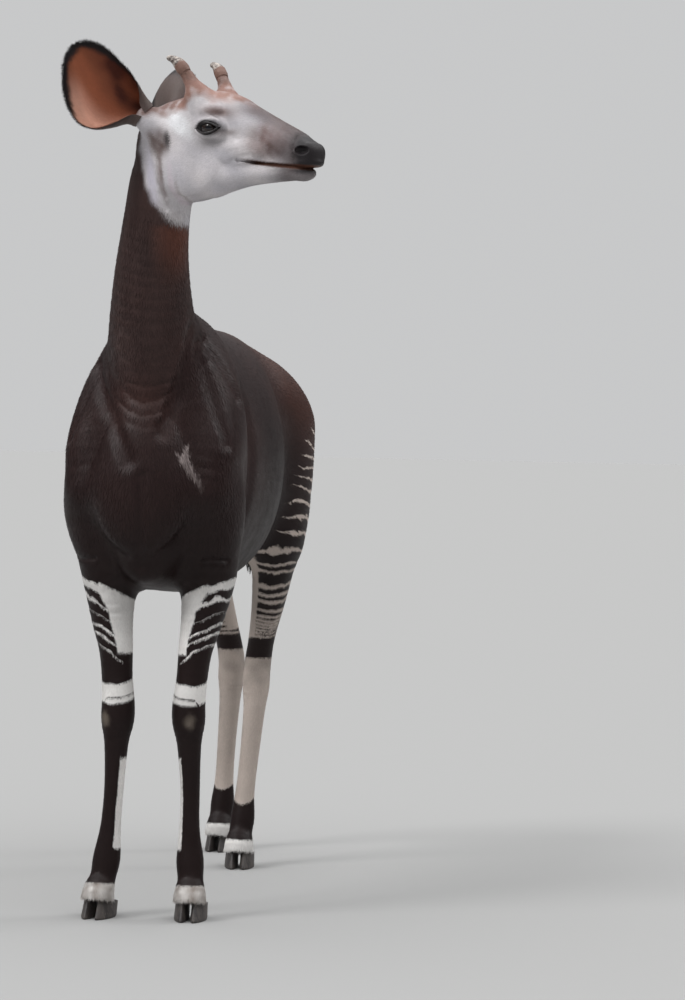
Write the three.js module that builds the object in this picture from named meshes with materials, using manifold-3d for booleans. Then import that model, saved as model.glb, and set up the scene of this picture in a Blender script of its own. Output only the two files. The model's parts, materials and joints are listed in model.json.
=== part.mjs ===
// Okapi, standing, life size, as a still museum-like model.
// Millimetres, +Z up. The animal faces -Y and its left side is +X. The floor is z = 0.
// Its flesh is one smooth field of distances, made from named forms blended together.
// Each node is the part of that field between thin plane cuts.

import * as THREE from 'three';
import Module from 'manifold-3d';
import { mergeVertices } from 'three/addons/utils/BufferGeometryUtils.js';

const wasm = await Module();
wasm.setup();

// Driving dimensions
const GAP = 0.3; // left between neighbouring nodes
const FLOOR_CENTRE = [130, 440]; // middle of the animal's box, measured between its fore feet

// Feet: middle of each foot on the floor, and where the toes point, in degrees to the animal's left
const FEET = {
  fore_left: { at: [116, 12], toe: 4 },
  fore_right: { at: [-116, -12], toe: -6 },
  hind_left: { at: [51, 908], toe: 6 },
  hind_right: { at: [-73, 1215], toe: -4 },
};

// Head: the place of the poll, and how far the head is turned to the animal's left
const HEAD_AT = new THREE.Vector3(73, -193, 1985);
const HEAD_TURN = 62;

const EYE = { f: 188, side: 66, up: -27, radius: 23 };
const HORN = { f: 138, side: 55, up: 58, length: 118, bare: 0.58, sunk: 0.06 };
const EAR = { f: -4, side: 67, up: -3, length: 266, thick: 5 };

const EARS = {
  left: { away: 35, lift: 17, roll: -8 },
  right: { away: 38, lift: 40, roll: 0 },
};

// Small helpers

const rad = THREE.MathUtils.degToRad;
const clamp = THREE.MathUtils.clamp;
const vector = (x, y, z) => new THREE.Vector3(x, y, z);

function catmull(a, b, c, d, t) {
  const t2 = t * t;
  const t3 = t2 * t;
  return 0.5 * (2 * b + (c - a) * t + (2 * a - 5 * b + 4 * c - d) * t2 + (3 * b - a - 3 * c + d) * t3);
}

// Rows of numbers that run smoothly through the given rows
function smoothRows(rows, steps) {
  const last = rows.length - 1;
  const out = [];
  for (let i = 0; i < last; i += 1) {
    const [a, b, c, d] = [i - 1, i, i + 1, i + 2].map((j) => rows[clamp(j, 0, last)]);
    for (let s = 0; s < steps; s += 1) {
      out.push(b.map((_, k) => catmull(a[k], b[k], c[k], d[k], s / steps)));
    }
  }
  out.push([...rows[last]]);
  return out;
}

// Fields: each is a function of x, y, z giving about the distance to its surface, negative inside

const FAR = 1e4;

// A field that is only worked out near its own box
function near(box, field) {
  const reach = 90;
  const culled = (x, y, z) => {
    const dx = Math.max(box.min.x - x, 0, x - box.max.x);
    const dy = Math.max(box.min.y - y, 0, y - box.max.y);
    const dz = Math.max(box.min.z - z, 0, z - box.max.z);
    const off = Math.hypot(dx, dy, dz);
    return off > reach ? off : field(x, y, z);
  };
  culled.box = box;
  return culled;
}

// Distance from the rim of an oval, along the line to its middle
function ovalDistance(length, ratio, least) {
  return ratio < 1e-4 ? -least : length * (1 - 1 / ratio);
}

// A limb: a bent form along a smooth line.
// Rows hold x, y, z, half width to the side, reach forward, reach back, and turn in degrees.
// A limb that lies along the body has its reaches up and down instead of forward and back.
function limb(rows, steps = 5) {
  const full = smoothRows(rows.map((row) => (row.length < 7 ? [...row, 0] : row)), steps);
  const points = full.map((row) => new THREE.Vector3(row[0], row[1], row[2]));
  const level = Math.abs(points.at(-1).clone().sub(points[0]).normalize().y) > 0.8;
  const stations = full.map((row, i) => {
    const before = points[Math.max(i - 1, 0)];
    const after = points[Math.min(i + 1, points.length - 1)];
    const along = after.clone().sub(before).normalize();
    const ahead = level ? new THREE.Vector3(0, 0, 1)
      : new THREE.Vector3(Math.sin(rad(row[6])), -Math.cos(rad(row[6])), 0);
    const side = along.clone().cross(ahead).normalize();
    const fore = side.clone().cross(along).normalize();
    return { at: points[i], side, fore, half: row[3], front: row[4], back: row[5] };
  });
  const box = new THREE.Box3();
  stations.forEach((s) => {
    const most = Math.max(s.half, s.front, s.back);
    box.expandByPoint(s.at.clone().addScalar(most));
    box.expandByPoint(s.at.clone().addScalar(-most));
  });
  const parts = [];
  for (let i = 0; i + 1 < stations.length; i += 1) {
    const a = stations[i];
    const b = stations[i + 1];
    const run = b.at.clone().sub(a.at);
    const length = run.length();
    parts.push({ a, b, run, length, along: run.clone().divideScalar(length) });
  }
  return near(box, (x, y, z) => {
    let best = FAR;
    for (const { a, b, length, along } of parts) {
      const px = x - a.at.x;
      const py = y - a.at.y;
      const pz = z - a.at.z;
      const w = px * along.x + py * along.y + pz * along.z;
      const t = w < 0 ? 0 : w > length ? 1 : w / length;
      const over = w - t * length;
      const qx = px - along.x * t * length;
      const qy = py - along.y * t * length;
      const qz = pz - along.z * t * length;
      const k = 1 - t;
      const u = qx * (a.side.x * k + b.side.x * t) + qy * (a.side.y * k + b.side.y * t)
        + qz * (a.side.z * k + b.side.z * t);
      const v = qx * (a.fore.x * k + b.fore.x * t) + qy * (a.fore.y * k + b.fore.y * t)
        + qz * (a.fore.z * k + b.fore.z * t);
      const half = a.half * k + b.half * t;
      const deep = v > 0 ? a.front * k + b.front * t : a.back * k + b.back * t;
      const least = half < deep ? half : deep;
      const ratio = Math.sqrt((u / half) ** 2 + (v / deep) ** 2 + (over / least) ** 2);
      const d = ovalDistance(Math.hypot(u, v, over), ratio, least);
      if (d < best) best = d;
    }
    return best;
  });
}

// A barrel: a form along one level axis.
// Rows hold the place along the axis, top, bottom, half width, and the height share where it is widest.
// roof and floor shape the section above and below that height: 2 is round, more is squarer.
function barrel(rows, cap, roof, floor) {
  const table = smoothRows(rows, 6);
  const first = table[0];
  const final = table[table.length - 1];
  return (along, side, up) => {
    const at = clamp(along, first[0], final[0]);
    let i = 0;
    while (i < table.length - 2 && table[i + 1][0] < at) i += 1;
    const a = table[i];
    const b = table[i + 1];
    const t = clamp((at - a[0]) / (b[0] - a[0]), 0, 1);
    const top = a[1] + (b[1] - a[1]) * t;
    const bottom = a[2] + (b[2] - a[2]) * t;
    const half = a[3] + (b[3] - a[3]) * t;
    const middle = bottom + (top - bottom) * (a[4] + (b[4] - a[4]) * t);
    const v = up - middle;
    const tall = v > 0 ? top - middle : middle - bottom;
    const n = v > 0 ? roof : floor;
    const over = along - at;
    const shares = [Math.abs(side) / half, Math.abs(v) / tall, Math.abs(over) / cap];
    const ratio = (shares[0] ** n + shares[1] ** n + shares[2] ** n) ** (1 / n);
    return ovalDistance(Math.hypot(side, v, over), ratio, Math.min(half, tall));
  };
}

// A ball stretched along its own axes, turned by x, y and z degrees
function ball(x, y, z, [rx, ry, rz], [ax, ay, az] = [0, 0, 0]) {
  const turned = new THREE.Euler(rad(ax), rad(ay), rad(az));
  const back = new THREE.Matrix4().makeRotationFromEuler(turned).invert().elements;
  const most = Math.max(rx, ry, rz);
  const least = Math.min(rx, ry, rz);
  const centre = new THREE.Vector3(x, y, z);
  const box = new THREE.Box3(centre.clone().addScalar(-most), centre.clone().addScalar(most));
  return near(box, (px, py, pz) => {
    const dx = px - x;
    const dy = py - y;
    const dz = pz - z;
    const u = back[0] * dx + back[4] * dy + back[8] * dz;
    const v = back[1] * dx + back[5] * dy + back[9] * dz;
    const w = back[2] * dx + back[6] * dy + back[10] * dz;
    return ovalDistance(Math.hypot(u, v, w), Math.sqrt((u / rx) ** 2 + (v / ry) ** 2 + (w / rz) ** 2), least);
  });
}

// Join two distances with a soft fillet of about the given size
function soft(a, b, size) {
  const h = Math.max(size - Math.abs(a - b), 0) / size;
  return Math.min(a, b) - h * h * size * 0.25;
}

// Cut the second form out of the first with a soft edge
function carve(a, b, size) {
  return -soft(-a, b, size);
}

// A form and its mirror image about x = 0
const mirrored = (make) => [make(1), make(-1)];

// Trunk

const trunkBarrel = barrel([
  [-120, 1290, 935, 118, 0.5],
  [-60, 1400, 880, 168, 0.5],
  [20, 1490, 852, 204, 0.47],
  [120, 1548, 838, 218, 0.45],
  [300, 1526, 822, 228, 0.45],
  [470, 1516, 814, 233, 0.46],
  [600, 1512, 820, 221, 0.48],
  [700, 1510, 832, 199, 0.5],
  [800, 1500, 858, 186, 0.53],
  [880, 1486, 884, 184, 0.54],
  [1000, 1436, 930, 186, 0.56],
  [1080, 1362, 1000, 150, 0.55],
], 78, 1.9, 2.1);

const withers = limb([
  [0, 20, 1440, 42, 60, 60],
  [0, 130, 1490, 34, 60, 60],
  [0, 300, 1474, 36, 50, 50],
]);

const shoulders = mirrored((s) => limb([
  [s * 70, 130, 1450, 52, 70, 80],
  [s * 130, 70, 1330, 62, 92, 110],
  [s * 157, -10, 1190, 66, 92, 110],
  [s * 146, -52, 1085, 64, 66, 92],
]));

const upperArms = mirrored((s) => limb([
  [s * 140, -46, 1080, 58, 62, 80],
  [s * 140, 20, 980, 62, 80, 92],
  [s * 134, 62, 885, 50, 68, 66],
]));

const triceps = mirrored((s) => ball(s * 162, 25, 1037, [71, 90, 119]));
const breast = ball(0, -112, 1075, [112, 62, 138], [-10, 0, 0]);
const breastBone = limb([
  [0, -70, 900, 60, 50, 50],
  [0, 60, 872, 70, 40, 40],
  [0, 300, 868, 90, 50, 50],
]);

const HIP = [930, 1235];

const croups = mirrored((s) => ball(s * 92, HIP[0] - 20, 1290, [112, 190, 132], [-12, 0, s * 4]));

const haunches = {
  left: limb([
    [112, 955, 1240, 114, 150, 160],
    [124, 920, 1090, 112, 146, 150],
    [134, 870, 950, 84, 106, 120],
  ]),
  right: limb([
    [-112, 975, 1240, 114, 150, 150],
    [-120, 1000, 1090, 110, 140, 142],
    [-124, 1000, 950, 82, 108, 118],
  ]),
};

const buttocks = {
  left: limb([
    [62, 1080, 1235, 66, 70, 70],
    [80, 1090, 1100, 74, 80, 70],
    [92, 1040, 950, 60, 84, 66],
  ]),
  right: limb([
    [-62, 1085, 1235, 66, 70, 70],
    [-82, 1120, 1100, 74, 80, 66],
    [-92, 1130, 950, 60, 84, 62],
  ]),
};

// Neck, from deep in the chest to the back of the skull
const neck = limb([
  [0, 70, 1230, 142, 190, 184, 0],
  [0, 10, 1360, 128, 165, 168, 2],
  [4, -56, 1490, 113, 138, 150, 8],
  [13, -106, 1620, 97, 113, 128, 20],
  [31, -142, 1740, 83, 99, 116, 34],
  [52, -166, 1850, 74, 96, 99, 48],
  [70, -182, 1940, 66, 94, 62, 58],
]);

// Legs

// Heights down the legs, with half width, reach forward and reach back at each
const FORE_SHAPE = [
  [960, 74, 92, 92], [870, 74, 86, 84], [760, 57, 62, 62], [685, 46, 48, 50], [610, 41, 41, 42],
  [548, 43, 42, 40], [502, 43, 42, 42], [442, 32, 30, 35], [330, 26, 25, 31], [230, 27, 25, 33],
  [150, 36, 31, 40], [100, 34, 31, 37], [60, 42, 45, 44], [20, 43, 52, 45],
];
const HIND_SHAPE = [
  [1000, 82, 100, 110], [900, 70, 86, 100], [770, 52, 64, 74], [650, 39, 45, 54], [565, 39, 44, 56],
  [505, 39, 44, 46], [440, 32, 34, 38], [310, 28, 28, 33], [210, 28, 28, 34],
  [140, 35, 32, 40], [98, 34, 31, 37], [60, 42, 45, 44], [20, 43, 52, 45],
];

// Where the middle of each leg runs at those heights: x, and y from the middle of the foot
const LEG_LINES = {
  fore_left: [[136, 36], [138, 34], [126, 20], [114, 6], [108, -2], [103, -8], [103, -8], [105, -6],
    [108, 2], [107, 8], [110, 6], [114, -2], [116, -14], [116, -16]],
  fore_right: [[-118, 44], [-114, 42], [-104, 30], [-89, 14], [-82, 6], [-76, -2], [-76, -4], [-79, -2],
    [-85, 6], [-93, 10], [-101, 8], [-108, 0], [-116, -14], [-117, -16]],
  hind_left: [[128, 10], [138, -20], [119, 14], [92, 52], [77, 70], [74, 72], [72, 62], [64, 44],
    [57, 30], [54, 18], [52, 4], [51, -12], [51, -14]],
  hind_right: [[-112, -170], [-120, -120], [-98, -36], [-72, 20], [-60, 46], [-60, 50], [-61, 44],
    [-66, 32], [-69, 24], [-71, 16], [-73, 4], [-73, -12], [-73, -14]],
};

function legFlesh(name) {
  const shape = name.startsWith('fore') ? FORE_SHAPE : HIND_SHAPE;
  const base = FEET[name].at[1];
  return limb(shape.map(([z, ...reach], i) => {
    const [x, back] = LEG_LINES[name][i];
    return [x, base + back, z, ...reach];
  }), 4);
}

const LEGS = Object.fromEntries(Object.keys(FEET).map((name) => [name, legFlesh(name)]));

// The point of the hock stands out behind the joint
const hockPoints = [
  limb([[82, 992, 700, 17, 16, 14], [77, 1018, 620, 19, 18, 16], [75, 1016, 580, 20, 24, 14]]),
  limb([[-74, 1272, 700, 17, 16, 14], [-64, 1300, 622, 19, 18, 16], [-60, 1298, 582, 20, 24, 14]]),
];

// Tail
const TAIL_ROWS = [
  [0, 1060, 1340, 46], [0, 1120, 1330, 38], [0, 1165, 1308, 28], [0, 1200, 1264, 20], [0, 1220, 1200, 15],
  [0, 1228, 1110, 12.5], [0, 1228, 1030, 11], [0, 1226, 953.2, 10],
];
const dock = limb(TAIL_ROWS.slice(0, 4).map(([x, y, z, size]) => [x, y, z, size, size, size]));

// Head, in its own axes: f forward along the face, side to its left, up

const headForward = new THREE.Vector3(Math.sin(rad(HEAD_TURN)), -Math.cos(rad(HEAD_TURN)), 0);
const headSide = new THREE.Vector3(Math.cos(rad(HEAD_TURN)), Math.sin(rad(HEAD_TURN)), 0);

function headPoint(f, side, up) {
  return HEAD_AT.clone().addScaledVector(headForward, f).addScaledVector(headSide, side).add(
    new THREE.Vector3(0, 0, up),
  );
}

const skull = barrel([
  [-48, 18, -110, 50, 0.5],
  [0, 48, -130, 68, 0.55],
  [60, 62, -135, 74, 0.58],
  [120, 72, -128, 76, 0.6],
  [180, 70, -116, 74, 0.58],
  [230, 54, -112, 62, 0.55],
  [272, 32, -114, 53, 0.52],
  [345, -4, -118, 45, 0.5],
  [415, -38, -124, 42, 0.48],
  [448, -62, -126, 39, 0.46],
], 24, 2.3, 2.2);

const jaw = barrel([
  [20, -80, -178, 40, 0.5],
  [80, -70, -198, 54, 0.5],
  [150, -76, -188, 52, 0.5],
  [250, -92, -166, 42, 0.5],
  [350, -100, -158, 36, 0.5],
  [420, -104, -156, 33, 0.5],
], 24, 2.1, 2.1);

// Forms of the head that come in pairs: f, side, up, sizes
const headPairs = [
  { at: [105, 46, -112], size: [88, 26, 72], fillet: 26 },
  { at: [180, 62, -16], size: [42, 27, 36], fillet: 22 },
  { at: [172, 62, 16], size: [44, 20, 16], fillet: 18 },
  { at: [130, 50, 52], size: [36, 28, 26], fillet: 24 },
  { at: [250, 36, -84], size: [70, 22, 26], fillet: 26 },
  { at: [432, 22, -84], size: [30, 19, 22], fillet: 12 },
];

const headMiddle = [
  { at: [436, 0, -114], size: [36, 37, 15], fillet: 12 },
  { at: [424, 0, -140], size: [30, 28, 15], fillet: 12 },
];

function stretched(f, side, up, at, size) {
  const u = f - at[0];
  const v = side - at[1];
  const w = up - at[2];
  const ratio = Math.sqrt((u / size[0]) ** 2 + (v / size[1]) ** 2 + (w / size[2]) ** 2);
  return ovalDistance(Math.hypot(u, v, w), ratio, Math.min(...size));
}

// Height of the line of the mouth at f
const MOUTH = { corner: 268, cornerUp: -104, tipUp: -126, depth: 5.5, width: 3.2 };

function mouthHeight(f) {
  const t = clamp((f - MOUTH.corner) / (450 - MOUTH.corner), 0, 1);
  return MOUTH.cornerUp + (MOUTH.tipUp - MOUTH.cornerUp) * t ** 0.8;
}

// Roots of the ears, in head axes, and the direction each ear points
function earAxes(which) {
  const s = which === 'left' ? 1 : -1;
  const { away, lift, roll } = EARS[which];
  const along = new THREE.Vector3()
    .addScaledVector(headForward, -Math.cos(rad(away)) * Math.cos(rad(lift)))
    .addScaledVector(headSide, s * Math.sin(rad(away)) * Math.cos(rad(lift)))
    .add(new THREE.Vector3(0, 0, Math.sin(rad(lift))));
  const open = new THREE.Vector3()
    .addScaledVector(headForward, Math.sin(rad(away)))
    .addScaledVector(headSide, s * Math.cos(rad(away)))
    .applyAxisAngle(along, rad(roll) * s);
  const across = along.clone().cross(open).multiplyScalar(s).normalize();
  return { s, along, open, across, root: headPoint(EAR.f, s * EAR.side, EAR.up) };
}

const earRoots = {};
for (const which of ['left', 'right']) {
  const { along, root } = earAxes(which);
  const rows = [[-40, 36], [0, 35.5], [8, 35]].map(([reach, size]) => {
    const at = root.clone().addScaledVector(along, reach);
    return [at.x, at.y, at.z, size, size, size];
  });
  earRoots[which] = limb(rows, 3);
}

function headField(x, y, z) {
  const dx = x - HEAD_AT.x;
  const dy = y - HEAD_AT.y;
  const up = z - HEAD_AT.z;
  const f = dx * headForward.x + dy * headForward.y;
  const side = dx * headSide.x + dy * headSide.y;
  const a = Math.abs(side);
  let d = soft(skull(f, side, up), jaw(f, side, up), 24);
  for (const { at, size, fillet } of headPairs) d = soft(d, stretched(f, a, up, at, size), fillet);
  for (const { at, size, fillet } of headMiddle) d = soft(d, stretched(f, a, up, at, size), fillet);
  return { d, f, a, up };
}

// Lids: a fold over the ball of the eye, open in the shape of a leaf
const LID = { wide: 44, tall: 29, thick: 4, opening: 34, gap: 12.5, floor: 8 };

// Line of the mouth, nostrils and the openings of the lids
function headDetails({ d, f, a, up }) {
  let out = d;
  if (f > MOUTH.corner - 20) {
    const fade = clamp((f - MOUTH.corner) / 14, -1, 1);
    const slit = Math.abs(up - mouthHeight(f)) - MOUTH.width * (1 + d / MOUTH.depth) * fade;
    out = carve(out, Math.max(slit, -(d + MOUTH.depth)), 4);
  }
  const nostril = stretched(f, a, up, [444, 38, -86], [17, 9, 7]);
  out = carve(out, nostril, 5);
  const lid = stretched(f, a, up, [EYE.f, EYE.side, EYE.up], [LID.wide, EYE.radius + LID.thick, LID.tall]);
  out = soft(out, lid, 12);
  const along = (f - EYE.f) / LID.opening;
  const across = Math.abs(up - EYE.up) - LID.gap * (1 - along * along);
  return carve(out, Math.max(across, EYE.side + LID.floor - a), 4);
}

// The whole flesh
const bodyParts = [
  [withers, 60], ...shoulders.map((f) => [f, 60]), ...upperArms.map((f) => [f, 50]),
  ...triceps.map((f) => [f, 44]), [breast, 60], [breastBone, 60], ...croups.map((f) => [f, 70]),
  [haunches.left, 70], [haunches.right, 70], [buttocks.left, 50], [buttocks.right, 50],
  [LEGS.fore_left, 44], [LEGS.fore_right, 44],
  [LEGS.hind_left, 50], [LEGS.hind_right, 50],
  ...hockPoints.map((f) => [f, 16]), [neck, 90],
];

const HEAD_FROM = 1650; // above this height there is only neck and head

function bodyField(x, y, z) {
  let d = z > 700 ? trunkBarrel(y, x, z) : FAR;
  for (const [form, fillet] of bodyParts) d = soft(d, form(x, y, z), fillet);
  return d;
}

function flesh(x, y, z) {
  if (z < HEAD_FROM) return soft(bodyField(x, y, z), dock(x, y, z), 24);
  const d = neck(x, y, z);
  const head = headField(x, y, z);
  head.d = soft(head.d, d, 46);
  head.d = soft(head.d, earRoots.left(x, y, z), 26);
  head.d = soft(head.d, earRoots.right(x, y, z), 26);
  return headDetails(head);
}

// A form as far as the walls of a box
function within(box, form) {
  const { min, max } = box;
  return (x, y, z) => Math.max(form(x, y, z), min.x - x, x - max.x, min.y - y, y - max.y, min.z - z, z - max.z);
}

// Where a square of samples is inside only at two opposite corners, fill a third corner,
// so that the surface never touches itself along an edge
function fillDiagonals(values, [nx, ny, nz]) {
  const steps = [1, nx, nx * ny];
  let changed = true;
  while (changed) {
    changed = false;
    for (let k = 0; k + 1 < nz; k += 1) {
      for (let j = 0; j + 1 < ny; j += 1) {
        for (let i = 0; i + 1 < nx; i += 1) {
          const at = i + nx * (j + ny * k);
          for (const [a, b] of [[steps[0], steps[1]], [steps[0], steps[2]], [steps[1], steps[2]]]) {
            const near1 = values[at] < 0;
            const far1 = values[at + a + b] < 0;
            const near2 = values[at + a] < 0;
            const far2 = values[at + b] < 0;
            if (near1 !== far1 || near2 !== far2 || near1 === near2) continue;
            values[near1 ? at + a : at] = -0.05;
            changed = true;
          }
        }
      }
    }
  }
}

// Polygons of a field inside a box, on cells of the given size
function surfaceOf(field, box, cell) {
  const count = ['x', 'y', 'z'].map((k) => Math.ceil((box.max[k] - box.min[k]) / cell) + 1);
  const [nx, ny, nz] = count;
  const values = new Float32Array(nx * ny * nz);
  const index = (i, j, k) => i + nx * (j + ny * k);
  const block = 8;
  const reach = block * cell * Math.sqrt(3) * 0.5;
  for (let k0 = 0; k0 < nz; k0 += block) {
    for (let j0 = 0; j0 < ny; j0 += block) {
      for (let i0 = 0; i0 < nx; i0 += block) {
        const mid = field(
          box.min.x + (i0 + block / 2) * cell,
          box.min.y + (j0 + block / 2) * cell,
          box.min.z + (k0 + block / 2) * cell,
        );
        const skip = Math.abs(mid) > reach * 2.2 + 6 && Math.abs(mid) > reach * 1.2;
        for (let k = k0; k < Math.min(k0 + block, nz); k += 1) {
          for (let j = j0; j < Math.min(j0 + block, ny); j += 1) {
            for (let i = i0; i < Math.min(i0 + block, nx); i += 1) {
              values[index(i, j, k)] = skip ? mid
                : field(box.min.x + i * cell, box.min.y + j * cell, box.min.z + k * cell);
            }
          }
        }
      }
    }
  }
  fillDiagonals(values, count);
  const corner = [[0, 0, 0], [1, 0, 0], [0, 1, 0], [1, 1, 0], [0, 0, 1], [1, 0, 1], [0, 1, 1], [1, 1, 1]];
  const edges = [[0, 1], [2, 3], [4, 5], [6, 7], [0, 2], [1, 3], [4, 6], [5, 7], [0, 4], [1, 5], [2, 6], [3, 7]];
  const ids = new Int32Array(nx * ny * nz).fill(-1);
  const points = [];
  for (let k = 0; k + 1 < nz; k += 1) {
    for (let j = 0; j + 1 < ny; j += 1) {
      for (let i = 0; i + 1 < nx; i += 1) {
        const v = corner.map(([a, b, c]) => values[index(i + a, j + b, k + c)]);
        const inside = v.filter((n) => n < 0).length;
        if (inside === 0 || inside === 8) continue;
        const sum = [0, 0, 0];
        let hits = 0;
        for (const [a, b] of edges) {
          if ((v[a] < 0) === (v[b] < 0)) continue;
          const t = v[a] / (v[a] - v[b]);
          for (let n = 0; n < 3; n += 1) sum[n] += corner[a][n] + (corner[b][n] - corner[a][n]) * t;
          hits += 1;
        }
        ids[index(i, j, k)] = points.length;
        points.push([
          box.min.x + (i + sum[0] / hits) * cell,
          box.min.y + (j + sum[1] / hits) * cell,
          box.min.z + (k + sum[2] / hits) * cell,
        ]);
      }
    }
  }
  const faces = [];
  const quad = (a, b, c, d, flip) => {
    const across = (p, q) => Math.hypot(...points[p].map((n, m) => n - points[q][m]));
    const two = across(a, c) < across(b, d) ? [[a, b, c], [a, c, d]] : [[a, b, d], [b, c, d]];
    two.forEach((t) => faces.push(flip ? [t[0], t[2], t[1]] : t));
  };
  for (let k = 1; k + 1 < nz; k += 1) {
    for (let j = 1; j + 1 < ny; j += 1) {
      for (let i = 1; i + 1 < nx; i += 1) {
        const here = values[index(i, j, k)] < 0;
        const id = (a, b, c) => ids[index(i - a, j - b, k - c)];
        if (here !== values[index(i + 1, j, k)] < 0) {
          quad(id(0, 0, 0), id(0, 1, 0), id(0, 1, 1), id(0, 0, 1), !here);
        }
        if (here !== values[index(i, j + 1, k)] < 0) {
          quad(id(0, 0, 0), id(0, 0, 1), id(1, 0, 1), id(1, 0, 0), !here);
        }
        if (here !== values[index(i, j, k + 1)] < 0) {
          quad(id(0, 0, 0), id(1, 0, 0), id(1, 1, 0), id(0, 1, 0), !here);
        }
      }
    }
  }
  for (let pass = 0; pass < 2; pass += 1) {
    for (const p of points) {
      const e = cell * 0.1;
      const d = field(...p);
      const g = [0, 1, 2].map((n) => {
        const q = [...p];
        q[n] += e;
        return (field(...q) - d) / e;
      });
      const steep = g[0] ** 2 + g[1] ** 2 + g[2] ** 2;
      if (steep < 0.05) continue;
      const step = clamp(d / steep, -cell * 0.4, cell * 0.4);
      for (let n = 0; n < 3; n += 1) p[n] -= g[n] * step;
    }
  }
  return { points, faces };
}

// Thin a surface to about the wanted number of triangles.
// Each step slides one corner on to a neighbour, where that changes the shape least.
function thinned({ points, faces }, wanted) {
  const tris = faces.map((t) => [...t]);
  const alive = new Uint8Array(tris.length).fill(1);
  const around = points.map(() => new Set());
  tris.forEach((t, i) => t.forEach((v) => around[v].add(i)));
  const plane = (t) => {
    const [a, b, c] = t.map((v) => points[v]);
    const u = [b[0] - a[0], b[1] - a[1], b[2] - a[2]];
    const w = [c[0] - a[0], c[1] - a[1], c[2] - a[2]];
    const n = [u[1] * w[2] - u[2] * w[1], u[2] * w[0] - u[0] * w[2], u[0] * w[1] - u[1] * w[0]];
    const size = Math.hypot(...n) || 1e-12;
    return { n: n.map((m) => m / size), area: size / 2, a };
  };
  const quadrics = points.map(() => new Float64Array(10));
  tris.forEach((t) => {
    const { n, area, a } = plane(t);
    const d = -(n[0] * a[0] + n[1] * a[1] + n[2] * a[2]);
    const q = [n[0] * n[0], n[0] * n[1], n[0] * n[2], n[0] * d, n[1] * n[1], n[1] * n[2], n[1] * d,
      n[2] * n[2], n[2] * d, d * d];
    t.forEach((v) => q.forEach((m, k) => { quadrics[v][k] += m * area; }));
  });
  const error = (q, [x, y, z]) => q[0] * x * x + 2 * q[1] * x * y + 2 * q[2] * x * z + 2 * q[3] * x
    + q[4] * y * y + 2 * q[5] * y * z + 2 * q[6] * y + q[7] * z * z + 2 * q[8] * z + q[9];
  const cost = (from, to) => {
    const span = Math.hypot(...points[from].map((m, k) => m - points[to][k]));
    return error(quadrics[from], points[to]) + error(quadrics[to], points[to]) + span ** 3 * 2e-4;
  };
  const heap = [];
  const push = (entry) => {
    heap.push(entry);
    let i = heap.length - 1;
    while (i > 0) {
      const up = (i - 1) >> 1;
      if (heap[up].cost <= heap[i].cost) break;
      [heap[up], heap[i]] = [heap[i], heap[up]];
      i = up;
    }
  };
  const pop = () => {
    const top = heap[0];
    const tail_ = heap.pop();
    if (heap.length > 0) {
      heap[0] = tail_;
      let i = 0;
      for (;;) {
        let least = i;
        for (const child of [2 * i + 1, 2 * i + 2]) {
          if (child < heap.length && heap[child].cost < heap[least].cost) least = child;
        }
        if (least === i) break;
        [heap[least], heap[i]] = [heap[i], heap[least]];
        i = least;
      }
    }
    return top;
  };
  const stamp = new Uint32Array(points.length);
  const offer = (from, to) => push({ cost: cost(from, to), from, to, age: stamp[from] + stamp[to] });
  const neighbours = (v) => {
    const out = new Set();
    around[v].forEach((i) => tris[i].forEach((w) => { if (w !== v) out.add(w); }));
    return out;
  };
  points.forEach((_, v) => neighbours(v).forEach((w) => offer(v, w)));
  let left = tris.length;
  while (left > wanted && heap.length > 0) {
    const { from, to, age } = pop();
    if (age !== stamp[from] + stamp[to] || around[from].size === 0 || around[to].size === 0) continue;
    const mine = neighbours(from);
    if (!mine.has(to)) continue;
    const shared = [...neighbours(to)].filter((w) => mine.has(w));
    if (shared.length !== 2) continue;
    let spoiled = false;
    for (const i of around[from]) {
      if (tris[i].includes(to)) continue;
      const before = plane(tris[i]);
      const moved = tris[i].map((v) => (v === from ? to : v));
      const after = plane(moved);
      const turn = before.n[0] * after.n[0] + before.n[1] * after.n[1] + before.n[2] * after.n[2];
      const sides = [0, 1, 2].map((k) => {
        const p = points[moved[k]];
        const q = points[moved[(k + 1) % 3]];
        return (p[0] - q[0]) ** 2 + (p[1] - q[1]) ** 2 + (p[2] - q[2]) ** 2;
      });
      if (turn < 0.5 || after.area < 0.09 * Math.max(...sides)) {
        spoiled = true;
        break;
      }
    }
    if (spoiled) continue;
    for (const i of [...around[from]]) {
      if (tris[i].includes(to)) {
        tris[i].forEach((v) => around[v].delete(i));
        alive[i] = 0;
        left -= 1;
      } else {
        tris[i] = tris[i].map((v) => (v === from ? to : v));
        around[to].add(i);
      }
    }
    around[from].clear();
    quadrics[from].forEach((m, k) => { quadrics[to][k] += m; });
    stamp[to] += 1;
    stamp[from] += 1;
    neighbours(to).forEach((w) => {
      offer(to, w);
      offer(w, to);
    });
  }
  return { points, faces: tris.filter((_, i) => alive[i]) };
}

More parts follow.
